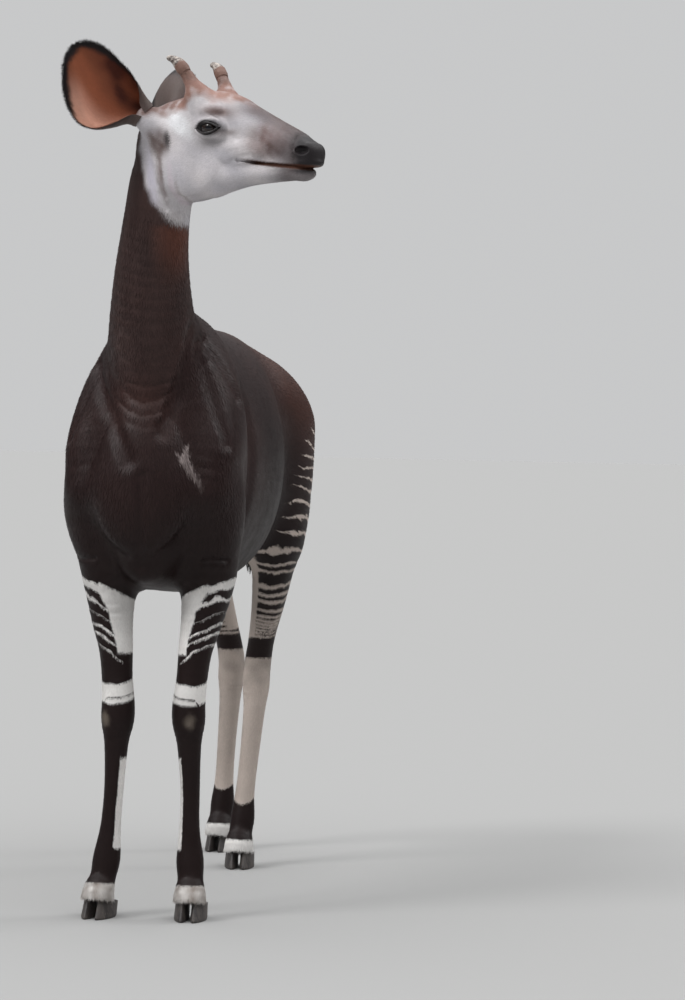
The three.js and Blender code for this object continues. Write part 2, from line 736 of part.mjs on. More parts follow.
// Even out a thinned surface: corners slide towards the middle of their neighbours,
// then move in or out until the flat faces lie on the form as much as the corners do
function fitted(surface, field, passes = 8) {
  const used = new Map();
  surface.faces.flat().forEach((v) => used.has(v) || used.set(v, used.size));
  const points = [...used.keys()].map((v) => [...surface.points[v]]);
  const faces = surface.faces.map((t) => t.map((v) => used.get(v)));
  const around = points.map(() => []);
  faces.forEach((t, i) => t.forEach((v) => around[v].push(i)));
  const frame = (t) => {
    const [a, b, c] = t.map((v) => points[v]);
    const u = b.map((m, k) => m - a[k]);
    const w = c.map((m, k) => m - a[k]);
    return {
      middle: a.map((m, k) => (m + b[k] + c[k]) / 3),
      normal: [u[1] * w[2] - u[2] * w[1], u[2] * w[0] - u[0] * w[2], u[0] * w[1] - u[1] * w[0]],
    };
  };
  for (let pass = 0; pass < passes; pass += 1) {
    const frames = faces.map(frame);
    const off = frames.map(({ middle }) => field(...middle));
    const moved = points.map((p, v) => {
      const normal = [0, 1, 2].map((k) => around[v].reduce((sum, i) => sum + frames[i].normal[k], 0));
      const size = Math.hypot(...normal) || 1;
      const n = normal.map((m) => m / size);
      const sum = (k) => around[v].reduce((total, i) => total + frames[i].middle[k], 0);
      const centre = [0, 1, 2].map((k) => sum(k) / around[v].length);
      const pull = centre.map((m, k) => m - p[k]);
      const outwards = pull[0] * n[0] + pull[1] * n[1] + pull[2] * n[2];
      const mean = around[v].reduce((sum, i) => sum + off[i], 0) / around[v].length;
      const lift = -clamp((field(...p) + 2 * mean) / 3, -4, 4);
      return p.map((m, k) => m + 0.35 * (pull[k] - n[k] * outwards) + 0.8 * lift * n[k]);
    });
    moved.forEach((p, v) => { points[v] = p; });
  }
  return { points, faces };
}

// A form inside a box as a closed surface of about the wanted number of triangles
function modelled(form, box, cell, wanted) {
  const field = within(box.clone().expandByScalar(-1.6 * cell), form);
  return fitted(thinned(surfaceOf(field, box, cell), wanted), field);
}

// Solids

function solidFrom({ points, faces }) {
  return new wasm.Manifold(new wasm.Mesh({
    numProp: 3,
    vertProperties: new Float32Array(points.flat()),
    triVerts: new Uint32Array(faces.flat()),
  }));
}

function solidOf(geometry) {
  const bare = geometry.clone();
  bare.deleteAttribute('normal');
  bare.deleteAttribute('uv');
  const merged = mergeVertices(bare, 1e-4);
  return new wasm.Manifold(new wasm.Mesh({
    numProp: 3,
    vertProperties: new Float32Array(merged.attributes.position.array),
    triVerts: new Uint32Array(merged.index.array),
  }));
}

// Keep the largest closed surface of a solid
function largest(solid) {
  const pieces = solid.decompose();
  return pieces.reduce((best, piece) => (piece.volume() > best.volume() ? piece : best));
}

function geometryOf(solid) {
  const mesh = solid.getMesh();
  const geometry = new THREE.BufferGeometry();
  geometry.setAttribute('position', new THREE.BufferAttribute(new Float32Array(mesh.vertProperties), 3));
  geometry.setIndex(new THREE.BufferAttribute(new Uint32Array(mesh.triVerts), 1));
  return geometry;
}

// A big block whose flat front face passes through a point and looks along a direction
const BLOCK = 3000;

function block(point, facing, shift = 0, size = BLOCK) {
  const geometry = new THREE.BoxGeometry(size, size, size);
  geometry.translate(0, 0, -size / 2 + shift);
  const turn = new THREE.Quaternion().setFromUnitVectors(vector(0, 0, 1), facing.clone().normalize());
  geometry.applyQuaternion(turn);
  geometry.translate(point.x, point.y, point.z);
  return solidOf(geometry);
}

const box3 = (x0, y0, z0, x1, y1, z1) => new THREE.Box3(vector(x0, y0, z0), vector(x1, y1, z1));

function boxSolid(b, grow = 0) {
  const size = b.getSize(new THREE.Vector3()).addScalar(2 * grow);
  const mid = b.getCenter(new THREE.Vector3());
  const geometry = new THREE.BoxGeometry(size.x, size.y, size.z);
  geometry.translate(mid.x, mid.y, mid.z);
  return solidOf(geometry);
}

// A closed skin over rings of points, all with the same count, with flat ends
function ringSkin(rings) {
  const count = rings[0].length;
  const points = rings.flat();
  const faces = [];
  for (let i = 0; i + 1 < rings.length; i += 1) {
    for (let n = 0; n < count; n += 1) {
      const m = (n + 1) % count;
      const a = i * count + n;
      const b = i * count + m;
      faces.push([a, b, b + count], [a, b + count, a + count]);
    }
  }
  const last = (rings.length - 1) * count;
  for (let n = 1; n + 1 < count; n += 1) {
    faces.push([0, n + 1, n], [last, last + n, last + n + 1]);
  }
  return { points, faces };
}

// A tube of rings along a smooth line; rows hold x, y, z and radius
function tube(rows, sides, steps) {
  const line = smoothRows(rows, steps);
  const points = line.map((row) => new THREE.Vector3(row[0], row[1], row[2]));
  let across = new THREE.Vector3(1, 0, 0);
  return ringSkin(line.map((row, i) => {
    const ahead = points[Math.min(i + 1, points.length - 1)];
    const along = ahead.clone().sub(points[Math.max(i - 1, 0)]).normalize();
    across = across.clone().addScaledVector(along, -across.dot(along)).normalize();
    const other = along.clone().cross(across);
    return Array.from({ length: sides }, (_, n) => {
      const angle = (n / sides) * 2 * Math.PI;
      return points[i].clone()
        .addScaledVector(across, row[3] * Math.cos(angle))
        .addScaledVector(other, row[3] * Math.sin(angle)).toArray();
    });
  }));
}

// Turn a skin the right way out
function outward(skin) {
  const solid = solidFrom(skin);
  if (solid.volume() > 0) return solid;
  return solidFrom({ points: skin.points, faces: skin.faces.map(([a, b, c]) => [a, c, b]) });
}

// Cuts between nodes: a point on the plane and the way its upper side looks
const HALF = GAP / 2;
const CUTS = {
  neckBase: { at: vector(0, 60, 1512), up: vector(0, -0.78, 0.62) },
  headBase: {
    at: headPoint(-18, 0, -120),
    up: headForward.clone().multiplyScalar(0.72).add(vector(0, 0, 0.69)),
  },
  hip: { at: vector(0, 740, 870), up: vector(0, -0.34, 0.94) },
  dock: { at: vector(0, 1163, 1300), up: vector(0, -1, 0) },
};

const above = (cut) => block(cut.at, cut.up.clone().negate(), -HALF);
const below = (cut) => block(cut.at, cut.up, -HALF);

const nodes = [];
function addNode(name, solid, look) {
  nodes.push({ name, solid: largest(solid), look });
}

// Trunk, with room left for the legs, the neck and the tail

const ELBOW = 816;
const ARMPIT = 44;
const legRooms = {
  fore_left: box3(ARMPIT, -400, -50, 400, 200, ELBOW),
  fore_right: box3(-400, -400, -50, -ARMPIT, 200, ELBOW),
};
const hindRoom = boxSolid(box3(-400, 560, -50, 400, 1500, 2000));
const tailRoom = boxSolid(box3(-48, 1120, 1215, 48, 1400, 1400));

const trunkWhole = solidFrom(modelled(flesh, box3(-330, -300, 690, 330, 1330, 1680), 14, 2500));
addNode('torso', trunkWhole
  .intersect(below(CUTS.neckBase))
  .subtract(boxSolid(legRooms.fore_left, HALF))
  .subtract(boxSolid(legRooms.fore_right, HALF))
  .subtract(block(CUTS.hip.at, CUTS.hip.up, HALF).intersect(hindRoom))
  .subtract(block(CUTS.dock.at, CUTS.dock.up, HALF).intersect(tailRoom)), 'coat');

const neckWhole = solidFrom(modelled(flesh, box3(-220, -420, 1080, 260, 240, 2080), 11, 1400));
addNode('neck', neckWhole.intersect(above(CUTS.neckBase)).intersect(below(CUTS.headBase)), 'coat');

// Legs, each cut below the knee or hock, at the fetlock and above the claws

const legBoxes = {
  fore_left: box3(30, -140, -20, 240, 190, 930),
  fore_right: box3(-240, -160, -20, -30, 180, 930),
  hind_left: box3(-60, 690, -20, 260, 1180, 1080),
  hind_right: box3(-260, 800, -20, 60, 1440, 1080),
};
const LEG_NAMES = { fore: ['forearm', 'cannon', 'pastern'], hind: ['thigh', 'cannon', 'pastern'] };
const KNEE_CUT = 465;
const FETLOCK_CUT = 172;
const CORONET = { height: 42, slope: 0.24 };

function coronetCut(foot) {
  const toe = rad(foot.toe);
  return {
    at: vector(foot.at[0], foot.at[1], CORONET.height),
    up: vector(Math.sin(toe) * -CORONET.slope, Math.cos(toe) * CORONET.slope, 1).normalize(),
  };
}

// One claw: pointed at the toe, straight along the cleft, on a flat sole
function claw(foot, outer) {
  const CLEFT = 3;
  const WIDE = 42;
  const TOE = 62;
  const HEEL = 44;
  const SLOPE = 0.42;
  const levels = [[0, 0.94], [5, 1], [30, 0.95], [90, 0.84]];
  const toe = rad(foot.toe);
  const rings = levels.map(([height, scale]) => {
    const ring = [];
    for (let n = 0; n < 14; n += 1) {
      const angle = (n / 14) * 2 * Math.PI;
      const ahead = Math.cos(angle);
      const reach = ahead > 0 ? TOE : HEEL;
      const bulge = Math.sin(angle);
      const wide = bulge > 0 ? WIDE * 0.56 : WIDE * 0.36;
      const lean = ahead > 0 ? 1 - 0.3 * ahead * ahead : 1;
      const px = outer * (CLEFT + WIDE * 0.36 + bulge * wide * lean * scale - ahead * 3);
      const py = -ahead * reach * scale + height * SLOPE;
      ring.push([
        foot.at[0] + px * Math.cos(toe) - py * Math.sin(toe),
        foot.at[1] - 6 + px * Math.sin(toe) + py * Math.cos(toe),
        height,
      ]);
    }
    return ring;
  });
  return outward(ringSkin(rings)).intersect(below(coronetCut(foot)));
}

for (const [key, foot] of Object.entries(FEET)) {
  const [end, side] = key.split('_');
  const whole = solidFrom(modelled(flesh, legBoxes[key], 6.5, 1100));
  const room = end === 'fore'
    ? boxSolid(legRooms[key], -HALF)
    : block(CUTS.hip.at, CUTS.hip.up, -HALF).intersect(side === 'left'
      ? boxSolid(box3(HALF, 500, -50, 400, 1500, 1100))
      : boxSolid(box3(-400, 500, -50, -HALF, 1500, 1100)));
  const leg = whole.intersect(room);
  const knee = { at: vector(0, 0, KNEE_CUT), up: vector(0, 0, 1) };
  const fetlock = { at: vector(0, 0, FETLOCK_CUT), up: vector(0, 0, 1) };
  const [upper, middle, lower] = LEG_NAMES[end].map((name) => `${end}leg_${side}_${name}`);
  addNode(upper, leg.intersect(above(knee)), 'coat');
  addNode(middle, leg.intersect(below(knee)).intersect(above(fetlock)), 'stocking');
  addNode(lower, leg.intersect(below(fetlock)).intersect(above(coronetCut(foot))), 'stocking');
  const out = side === 'left' ? 1 : -1;
  addNode(`${end}leg_${side}_claw_outer`, claw(foot, out), 'hoof');
  addNode(`${end}leg_${side}_claw_inner`, claw(foot, -out), 'hoof');
}

// Tail, hanging clear of the buttocks, with its tuft
addNode('tail', outward(tube(TAIL_ROWS, 12, 3)).intersect(below(CUTS.dock)), 'coat');

const TUFT = { locks: 13, top: 1010, length: 205, sides: 5, seed: 7 };

// Steady random numbers from a seed
function randomFrom(seed) {
  let state = seed;
  return () => {
    state = (state * 1664525 + 1013904223) % 4294967296;
    return state / 4294967296;
  };
}

// A flat lock of hair along a line: rows hold x, y, z, half width and half thickness
function lock(rows, flat) {
  const side = flat.clone().normalize();
  const other = side.clone().cross(new THREE.Vector3(0, 0, 1)).normalize();
  return outward(ringSkin(rows.map(([x, y, z, wide, thick]) => Array.from({ length: TUFT.sides }, (_, n) => {
    const angle = (n / TUFT.sides) * 2 * Math.PI;
    return new THREE.Vector3(x, y, z)
      .addScaledVector(side, wide * Math.cos(angle))
      .addScaledVector(other, thick * Math.sin(angle)).toArray();
  }))));
}

// Along a lock: share of its length, share of its bow, half width, half thickness
const LOCK_ROWS = [[0, 4, 5.5, 4], [0.3, 1, 6.5, 2.9], [0.65, 0.95, 4.6, 2], [0.9, 0.7, 2, 0.9], [1, 0.6, 0.5, 0.4]];

function tuftSolid() {
  const random = randomFrom(TUFT.seed);
  const [, rootY] = TAIL_ROWS.at(-1);
  const core = [[58, 11], [90, 12], [130, 7], [150, 2]];
  let solid = outward(tube(core.map(([down, size]) => [0, rootY, TUFT.top - down, size]), 10, 1));
  for (let n = 0; n < TUFT.locks; n += 1) {
    const turn = (n / TUFT.locks) * 2 * Math.PI * 5 + random() * 0.15;
    const out = vector(Math.cos(turn), Math.sin(turn), 0);
    const row = n / TUFT.locks;
    const start = TUFT.top - 68 - row * 52;
    const length = TUFT.length * (0.62 + 0.3 * random()) - row * 24;
    const spread = 13 + 9 * random();
    const rows = LOCK_ROWS.map(([share, wide, half, thick]) => {
      const bow = share === 0 ? wide : spread * Math.sin(Math.PI * (0.25 + 0.5 * share)) * wide;
      return [out.x * bow, rootY + out.y * bow, start - length * share, half, thick];
    });
    solid = solid.add(lock(rows, vector(-out.y, out.x, 0)));
  }
  const cut = { at: vector(0, rootY, TUFT.top - 57), up: vector(0, 0, 1) };
  return solid.intersect(below(cut));
}
addNode('tail_tuft', tuftSolid(), 'coat');

// Eyes, in sockets of their own round shape
function eyeBall(s, grow) {
  const geometry = new THREE.SphereGeometry(EYE.radius + grow, 16, 11);
  const at = headPoint(EYE.f, s * EYE.side, EYE.up);
  geometry.translate(at.x, at.y, at.z);
  return solidOf(geometry);
}

// Horns: skin for the first part, then a bare worn tip
// Share of the length, radius, lift, and how far it hooks backward
const HORN_ROWS = [
  [-0.2, 29, 0, 0], [0.02, 26, 0, 0], [0.22, 21.5, 0, 0], [0.45, 17.5, 1, 0], [0.65, 15, 1, 1],
  [0.8, 14, 0, 5], [0.91, 12, -3, 11], [0.98, 8, -8, 17], [1, 3, -11, 20],
];

function hornSolid(s, grow) {
  return outward(tube(HORN_ROWS.map(([share, size, lift, back]) => {
    const reach = share * HORN.length;
    const side = s * (HORN.side + reach * 0.22);
    const at = headPoint(HORN.f - reach * 0.52 - back, side, HORN.up + reach * 0.83 + lift);
    return [at.x, at.y, at.z, size + grow];
  }), 12, 1));
}

function hornCut(s, share) {
  const reach = share * HORN.length;
  return {
    at: headPoint(HORN.f - reach * 0.52, s * (HORN.side + reach * 0.22), HORN.up + reach * 0.83),
    up: headForward.clone().multiplyScalar(-0.52).addScaledVector(headSide, s * 0.22).add(vector(0, 0, 0.83)),
  };
}

// Ears: a broad cupped leaf on a round root

// Share of the length, half width, shift down, and bend of the cup in degrees
const EAR_OUTLINE = [
  [0, 31, 0, 170], [0.08, 37, 3, 156], [0.16, 55, 16, 118], [0.26, 75, 27, 92], [0.38, 86, 30, 74],
  [0.5, 86, 28, 62], [0.64, 81, 20, 54], [0.78, 68, 10, 48], [0.9, 47, 0, 44], [0.97, 26, -4, 40],
  [1, 10, -5, 38],
];

function earSheet(which) {
  const { s, along, open, across, root } = earAxes(which);
  const rows = smoothRows(EAR_OUTLINE, 2);
  const columns = 12;
  const middle = rows.map(([t, wide, shift, bend]) => {
    const ring = [];
    for (let n = 0; n <= columns; n += 1) {
      const turn = ((n / columns) * 2 - 1) * rad(bend);
      const radius = wide / Math.sin(Math.min(rad(bend), Math.PI / 2));
      ring.push(root.clone()
        .addScaledVector(along, 22 + t * (EAR.length - 22))
        .addScaledVector(across, shift + radius * Math.sin(turn))
        .addScaledVector(open, radius * (1 - Math.cos(turn)) - EAR_OUTLINE[0][1]));
    }
    return ring;
  });
  const skins = [1, -1].map((face) => middle.map((ring, i) => ring.map((p, n) => {
    const a = middle[Math.max(i - 1, 0)][n];
    const b = middle[Math.min(i + 1, middle.length - 1)][n];
    const c = ring[Math.max(n - 1, 0)];
    const d = ring[Math.min(n + 1, columns)];
    const normal = b.clone().sub(a).cross(d.clone().sub(c)).normalize();
    return p.clone().addScaledVector(normal, face * EAR.thick / 2).toArray();
  })));
  const points = [...skins[0].flat(), ...skins[1].flat()];
  const faces = [];
  const wide = columns + 1;
  const back = middle.length * wide;
  const id = (i, n, face) => i * wide + n + face * back;
  for (let i = 0; i + 1 < middle.length; i += 1) {
    for (let n = 0; n < columns; n += 1) {
      faces.push([id(i, n, 0), id(i, n + 1, 0), id(i + 1, n + 1, 0)]);
      faces.push([id(i, n, 0), id(i + 1, n + 1, 0), id(i + 1, n, 0)]);
      faces.push([id(i, n, 1), id(i + 1, n + 1, 1), id(i, n + 1, 1)]);
      faces.push([id(i, n, 1), id(i + 1, n, 1), id(i + 1, n + 1, 1)]);
    }
  }
  const rim = [];
  for (let n = 0; n < columns; n += 1) rim.push([0, n]);
  for (let i = 0; i + 1 < middle.length; i += 1) rim.push([i, columns]);
  for (let n = columns; n > 0; n -= 1) rim.push([middle.length - 1, n]);
  for (let i = middle.length - 1; i > 0; i -= 1) rim.push([i, 0]);
  rim.forEach(([i, n], k) => {
    const [j, m] = rim[(k + 1) % rim.length];
    faces.push([id(i, n, 0), id(i, n, 1), id(j, m, 1)], [id(i, n, 0), id(j, m, 1), id(j, m, 0)]);
  });
  return outward({ points, faces });
}

function earCut(which) {
  const { along, root } = earAxes(which);
  return { at: root.clone().addScaledVector(along, 26), up: along };
}

function earSolid(which) {
  const cut = earCut(which);
  const bulb = modelled(earRoots[which], earRoots[which].box.clone().expandByScalar(12), 5, 200);
  return solidFrom(bulb).add(earSheet(which)).intersect(above(cut));
}

// Head, with rooms for the eyes, horns and ears
let head = solidFrom(modelled(flesh, box3(-160, -520, 1690, 620, 80, 2140), 2.8, 4900));
head = head.intersect(above(CUTS.headBase));
for (const [which, s] of [['left', 1], ['right', -1]]) {
  const ear = earCut(which);
  const room = boxSolid(box3(-130, -130, 0, 130, 130, 200));
  const turn = new THREE.Matrix4().makeRotationFromQuaternion(
    new THREE.Quaternion().setFromUnitVectors(vector(0, 0, 1), ear.up),
  ).setPosition(ear.at.clone().addScaledVector(ear.up, -HALF));
  head = head.subtract(room.transform(turn.elements));
  head = head.subtract(eyeBall(s, GAP));
  addNode(`ear_${which}`, earSolid(which), 'ear');
  addNode(`eye_${which}`, eyeBall(s, 0), 'eye');
  const horn = hornSolid(s, 0);
  const base = hornCut(s, HORN.sunk);
  const tip = hornCut(s, HORN.bare);
  head = head.subtract(hornSolid(s, GAP).intersect(block(base.at, base.up.clone().negate(), HALF)));
  addNode(`ossicone_${which}`, horn.intersect(above(base)).intersect(below(tip)), 'horn');
  addNode(`ossicone_tip_${which}`, horn.intersect(above(tip)), 'bone');
}
addNode('head', head, 'face');

const LOOKS = {
  coat: ['#2a1c1a', 0.7],
  stocking: ['#d8cfc2', 0.75],
  face: ['#a79c96', 0.75],
  ear: ['#5a3c33', 0.8],
  eye: ['#0c0a0c', 0.1],
  horn: ['#6d4c43', 0.75],
  bone: ['#b9a99c', 0.5],
  hoof: ['#4a4745', 0.55],
};

const okapi = new THREE.Group();
okapi.position.set(-FLOOR_CENTRE[0], -FLOOR_CENTRE[1], 0);
for (const { name, solid, look } of nodes) {
  const [color, roughness] = LOOKS[look];
  const material = new THREE.MeshStandardMaterial({ color, roughness, metalness: 0 });
  const mesh = new THREE.Mesh(geometryOf(solid), material);
  mesh.name = name;
  okapi.add(mesh);
}

export default okapi;
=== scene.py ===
# Looks of a life-size okapi: one skin over its flesh, a short coat, eyes, horns and hooves.
# The flesh is described in millimetres, between the fore feet, as in the solid model,
# and every mesh is brought to metres in the model's own frame.

import json
import math

import bpy
import numpy as np
from mathutils import Matrix, Vector

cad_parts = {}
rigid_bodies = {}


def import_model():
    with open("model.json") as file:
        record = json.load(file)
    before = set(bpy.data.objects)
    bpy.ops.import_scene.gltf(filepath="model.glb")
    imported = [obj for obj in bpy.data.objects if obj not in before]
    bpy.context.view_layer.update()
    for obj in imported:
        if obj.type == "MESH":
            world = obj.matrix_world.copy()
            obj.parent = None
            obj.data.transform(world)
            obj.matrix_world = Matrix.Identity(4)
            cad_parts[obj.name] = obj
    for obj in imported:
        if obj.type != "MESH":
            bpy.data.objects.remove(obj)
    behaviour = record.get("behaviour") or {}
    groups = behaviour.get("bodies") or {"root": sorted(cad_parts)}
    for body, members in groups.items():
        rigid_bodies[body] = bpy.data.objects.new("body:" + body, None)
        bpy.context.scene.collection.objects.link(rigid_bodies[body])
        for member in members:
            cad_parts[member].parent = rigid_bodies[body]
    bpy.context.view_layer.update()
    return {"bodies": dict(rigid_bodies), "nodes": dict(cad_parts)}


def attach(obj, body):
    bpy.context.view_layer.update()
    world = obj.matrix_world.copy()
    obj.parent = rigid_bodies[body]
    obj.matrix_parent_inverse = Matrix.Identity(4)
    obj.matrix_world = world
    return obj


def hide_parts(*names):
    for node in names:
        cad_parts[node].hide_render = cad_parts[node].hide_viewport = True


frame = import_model()

BODY = sorted(frame["bodies"])[0]
MM = 0.001
FLOOR_CENTRE = np.array([130.0, 440.0, 0.0])  # middle of the box, from between the fore feet
RANDOM = np.random.default_rng(11)


def to_model(points):
    """Millimetres between the feet to metres in the model's frame."""
    return (np.asarray(points, float) - FLOOR_CENTRE) * MM


# Camera

CAMERA_AT = (1.636, -7.702, 1.269)
CAMERA_TURN = 10.0  # degrees to the right of the animal's own front
CAMERA_DOWN = 1.548
CAMERA_ROLL = 1.2
LENS = 106.56


def make_camera():
    data = bpy.data.cameras.new("camera")
    data.lens = LENS
    data.sensor_width = 36.0
    data.dof.use_dof = False
    data.clip_end = 100
    camera = bpy.data.objects.new("camera", data)
    bpy.context.scene.collection.objects.link(camera)
    turn = Matrix.Rotation(math.radians(CAMERA_TURN), 4, "Z")
    tilt = Matrix.Rotation(math.radians(90 - CAMERA_DOWN), 4, "X")
    roll = Matrix.Rotation(math.radians(CAMERA_ROLL), 4, "Z")
    camera.matrix_world = Matrix.Translation(CAMERA_AT) @ turn @ tilt @ roll
    bpy.context.scene.camera = camera


make_camera()


# Flesh: fields of distance, negative inside, for arrays of points

FAR = 1e4  # farther than any point of the model
REACH = 90.0  # a form is worked out in full this near its own box
TRUNK_FROM = 700  # the trunk's barrel doesn't reach lower


def catmull_rows(rows, steps):
    """Rows of numbers that run smoothly through the given rows."""
    rows = np.asarray(rows, float)
    last = len(rows) - 1
    out = []
    for i in range(last):
        a, b, c, d = (rows[min(max(j, 0), last)] for j in (i - 1, i, i + 1, i + 2))
        for s in range(steps):
            t = s / steps
            curve = 2 * b + (c - a) * t + (2 * a - 5 * b + 4 * c - d) * t * t
            out.append(0.5 * (curve + (3 * b - a - 3 * c + d) * t**3))
    out.append(rows[last])
    return np.array(out)


def unit(v):
    return v / np.maximum(np.linalg.norm(v, axis=-1, keepdims=True), 1e-9)


def smooth_step(x, low, high):
    """0 below low, 1 above high, smooth between."""
    t = np.clip((x - low) / (high - low), 0, 1)
    return t * t * (3 - 2 * t)


def oval_distance(length, ratio, least):
    """About the distance to an oval, from a point's distance and its share of the radius."""
    return np.where(ratio < 1e-4, -least, length * (1 - 1 / np.maximum(ratio, 1e-4)))


def box_distance(p, low, high):
    """Distance from points to a box, 0 inside."""
    return np.linalg.norm(np.maximum(np.maximum(low - p, p - high), 0), axis=1)


def near(low, high, field):
    """A field that is only worked out near its own box."""

    def culled(p):
        off = box_distance(p, low, high)
        close = off <= REACH
        if close.any():
            off[close] = field(p[close])
        return off

    culled.low = low
    culled.high = high
    return culled


def limb(rows, steps=5):
    """A bent form along a smooth line: x, y, z, half width, reach ahead, reach back, turn."""
    rows = [list(row) + [0] * (7 - len(row)) for row in rows]
    full = catmull_rows(rows, steps)
    at = full[:, :3]
    level = abs(unit(at[-1] - at[0])[1]) > 0.8
    after = at[np.minimum(np.arange(len(at)) + 1, len(at) - 1)]
    before = at[np.maximum(np.arange(len(at)) - 1, 0)]
    along = unit(after - before)
    turn = np.radians(full[:, 6])
    if level:
        ahead = np.tile([0.0, 0.0, 1.0], (len(at), 1))
    else:
        ahead = np.stack([np.sin(turn), -np.cos(turn), np.zeros(len(at))], 1)
    side = unit(np.cross(along, ahead))
    fore = unit(np.cross(side, along))
    sizes = full[:, 3:6]
    most = sizes.max(1)
    low = (at - most[:, None]).min(0)
    high = (at + most[:, None]).max(0)
    runs = at[1:] - at[:-1]
    lengths = np.linalg.norm(runs, axis=1)
    ways = runs / lengths[:, None]

    def field(p):
        gap = np.linalg.norm(p[:, None, :] - at[None], axis=2) - most[None]
        pair = np.minimum(gap[:, 1:], gap[:, :-1])
        bound = gap.min(1) + lengths.max() + most.max() * 0.9
        best = np.full(len(p), FAR)
        for k in range(len(lengths)):
            use = np.nonzero(pair[:, k] < bound)[0]
            if not len(use):
                continue
            q = p[use] - at[k]
            w = q @ ways[k]
            t = np.clip(w / lengths[k], 0, 1)
            over = w - t * lengths[k]
            q = q - ways[k] * (t * lengths[k])[:, None]
            s = 1 - t
            u = (q @ side[k]) * s + (q @ side[k + 1]) * t
            v = (q @ fore[k]) * s + (q @ fore[k + 1]) * t
            half = sizes[k, 0] * s + sizes[k + 1, 0] * t
            front = sizes[k, 1] * s + sizes[k + 1, 1] * t
            back = sizes[k, 2] * s + sizes[k + 1, 2] * t
            deep = np.where(v > 0, front, back)
            least = np.minimum(half, deep)
            ratio = np.sqrt((u / half) ** 2 + (v / deep) ** 2 + (over / least) ** 2)
            d = oval_distance(np.sqrt(u * u + v * v + over * over), ratio, least)
            best[use] = np.minimum(best[use], d)
        return best

    return near(low, high, field)


def barrel(rows, cap, roof, floor):
    """A form along a level axis: place, top, bottom, half width, share where it is widest."""
    table = catmull_rows(rows, 6)

    def field(along, side, up):
        at = np.clip(along, table[0, 0], table[-1, 0])
        top, bottom, half, share = (np.interp(at, table[:, 0], table[:, k]) for k in (1, 2, 3, 4))
        middle = bottom + (top - bottom) * share
        v = up - middle
        tall = np.where(v > 0, top - middle, middle - bottom)
        n = floor + (roof - floor) * smooth_step(v / tall, -0.4, 0.4)
        over = along - at
        total = (np.abs(side) / half) ** n + (np.abs(v) / tall) ** n + (np.abs(over) / cap) ** n
        length = np.sqrt(side * side + v * v + over * over)
        return oval_distance(length, total ** (1 / n), np.minimum(half, tall))

    return field


def ball(x, y, z, sizes, turn=(0, 0, 0)):
    """A ball stretched along its own axes, turned by x, y and z degrees."""
    at = np.array([x, y, z], float)
    sizes = np.array(sizes, float)
    turned = np.eye(3)
    for axis, angle in zip("XYZ", turn):
        turned = turned @ np.array(Matrix.Rotation(math.radians(angle), 3, axis))

    def field(p):
        q = (p - at) @ turned
        ratio = np.linalg.norm(q / sizes, axis=1)
        return oval_distance(np.linalg.norm(q, axis=1), ratio, sizes.min())

    return near(at - sizes.max(), at + sizes.max(), field)


def soft(a, b, size):
    """Join two distances with a soft fillet."""
    h = np.maximum(size - np.abs(a - b), 0) / size
    return np.minimum(a, b) - h * h * size * 0.25


def carve(a, b, size):
    """Cut the second form out of the first with a soft edge."""
    return -soft(-a, b, size)


def soft_most(a, b, size):
    """What lies in both forms, with a soft edge."""
    return -soft(-a, -b, size)


def both(make):
    """A form on the left and the same on the right."""
    return [make(1), make(-1)]


trunk_barrel = barrel(
    [
        [-120, 1290, 935, 118, 0.5], [-60, 1400, 880, 168, 0.5], [20, 1490, 852, 204, 0.47],
        [120, 1548, 838, 218, 0.45], [300, 1526, 822, 228, 0.45], [470, 1516, 814, 233, 0.46],
        [600, 1512, 820, 221, 0.48], [700, 1510, 832, 199, 0.5], [800, 1500, 858, 186, 0.53],
        [880, 1486, 884, 184, 0.54], [1000, 1436, 930, 186, 0.56], [1080, 1362, 1000, 150, 0.55],
    ],
    cap=78, roof=1.9, floor=2.1,
)
withers = limb([[0, 20, 1440, 42, 60, 60], [0, 130, 1490, 34, 60, 60], [0, 300, 1474, 36, 50, 50]])
shoulders = both(
    lambda s: limb(
        [
            [s * 70, 130, 1450, 52, 70, 80],
            [s * 130, 70, 1330, 62, 92, 110],
            [s * 157, -10, 1190, 66, 92, 110],
            [s * 146, -52, 1085, 64, 66, 92],
        ]
    )
)
upper_arms = both(
    lambda s: limb(
        [
            [s * 140, -46, 1080, 58, 62, 80],
            [s * 140, 20, 980, 62, 80, 92],
            [s * 134, 62, 885, 50, 68, 66],
        ]
    )
)
triceps = both(lambda s: ball(s * 162, 25, 1037, [71, 90, 119]))
breast = ball(0, -112, 1075, [112, 62, 138], [-10, 0, 0])
breast_bone = limb([[0, -70, 900, 60, 50, 50], [0, 60, 872, 70, 40, 40], [0, 300, 868, 90, 50, 50]])
croups = both(lambda s: ball(s * 92, 910, 1290, [112, 190, 132], [-12, 0, s * 4]))
haunches = [
    limb(
        [
            [112, 955, 1240, 114, 150, 160],
            [124, 920, 1090, 112, 146, 150],
            [134, 870, 950, 84, 106, 120],
        ]
    ),
    limb(
        [
            [-112, 975, 1240, 114, 150, 150],
            [-120, 1000, 1090, 110, 140, 142],
            [-124, 1000, 950, 82, 108, 118],
        ]
    ),
]
buttocks = [
    limb(
        [[62, 1080, 1235, 66, 70, 70], [80, 1090, 1100, 74, 80, 70], [92, 1040, 950, 60, 84, 66]]
    ),
    limb(
        [[-62, 1085, 1235, 66, 70, 70], [-82, 1120, 1100, 74, 80, 66], [-92, 1130, 950, 60, 84, 62]]
    ),
]
NECK_ROWS = [
    [0, 70, 1230, 142, 190, 184, 0],
    [0, 10, 1360, 128, 165, 168, 2],
    [4, -56, 1490, 113, 138, 150, 8],
    [13, -106, 1620, 97, 113, 128, 20],
    [31, -142, 1740, 83, 99, 116, 34],
    [52, -166, 1850, 74, 96, 99, 48],
    [70, -182, 1940, 66, 94, 62, 58],
]
neck = limb(NECK_ROWS)

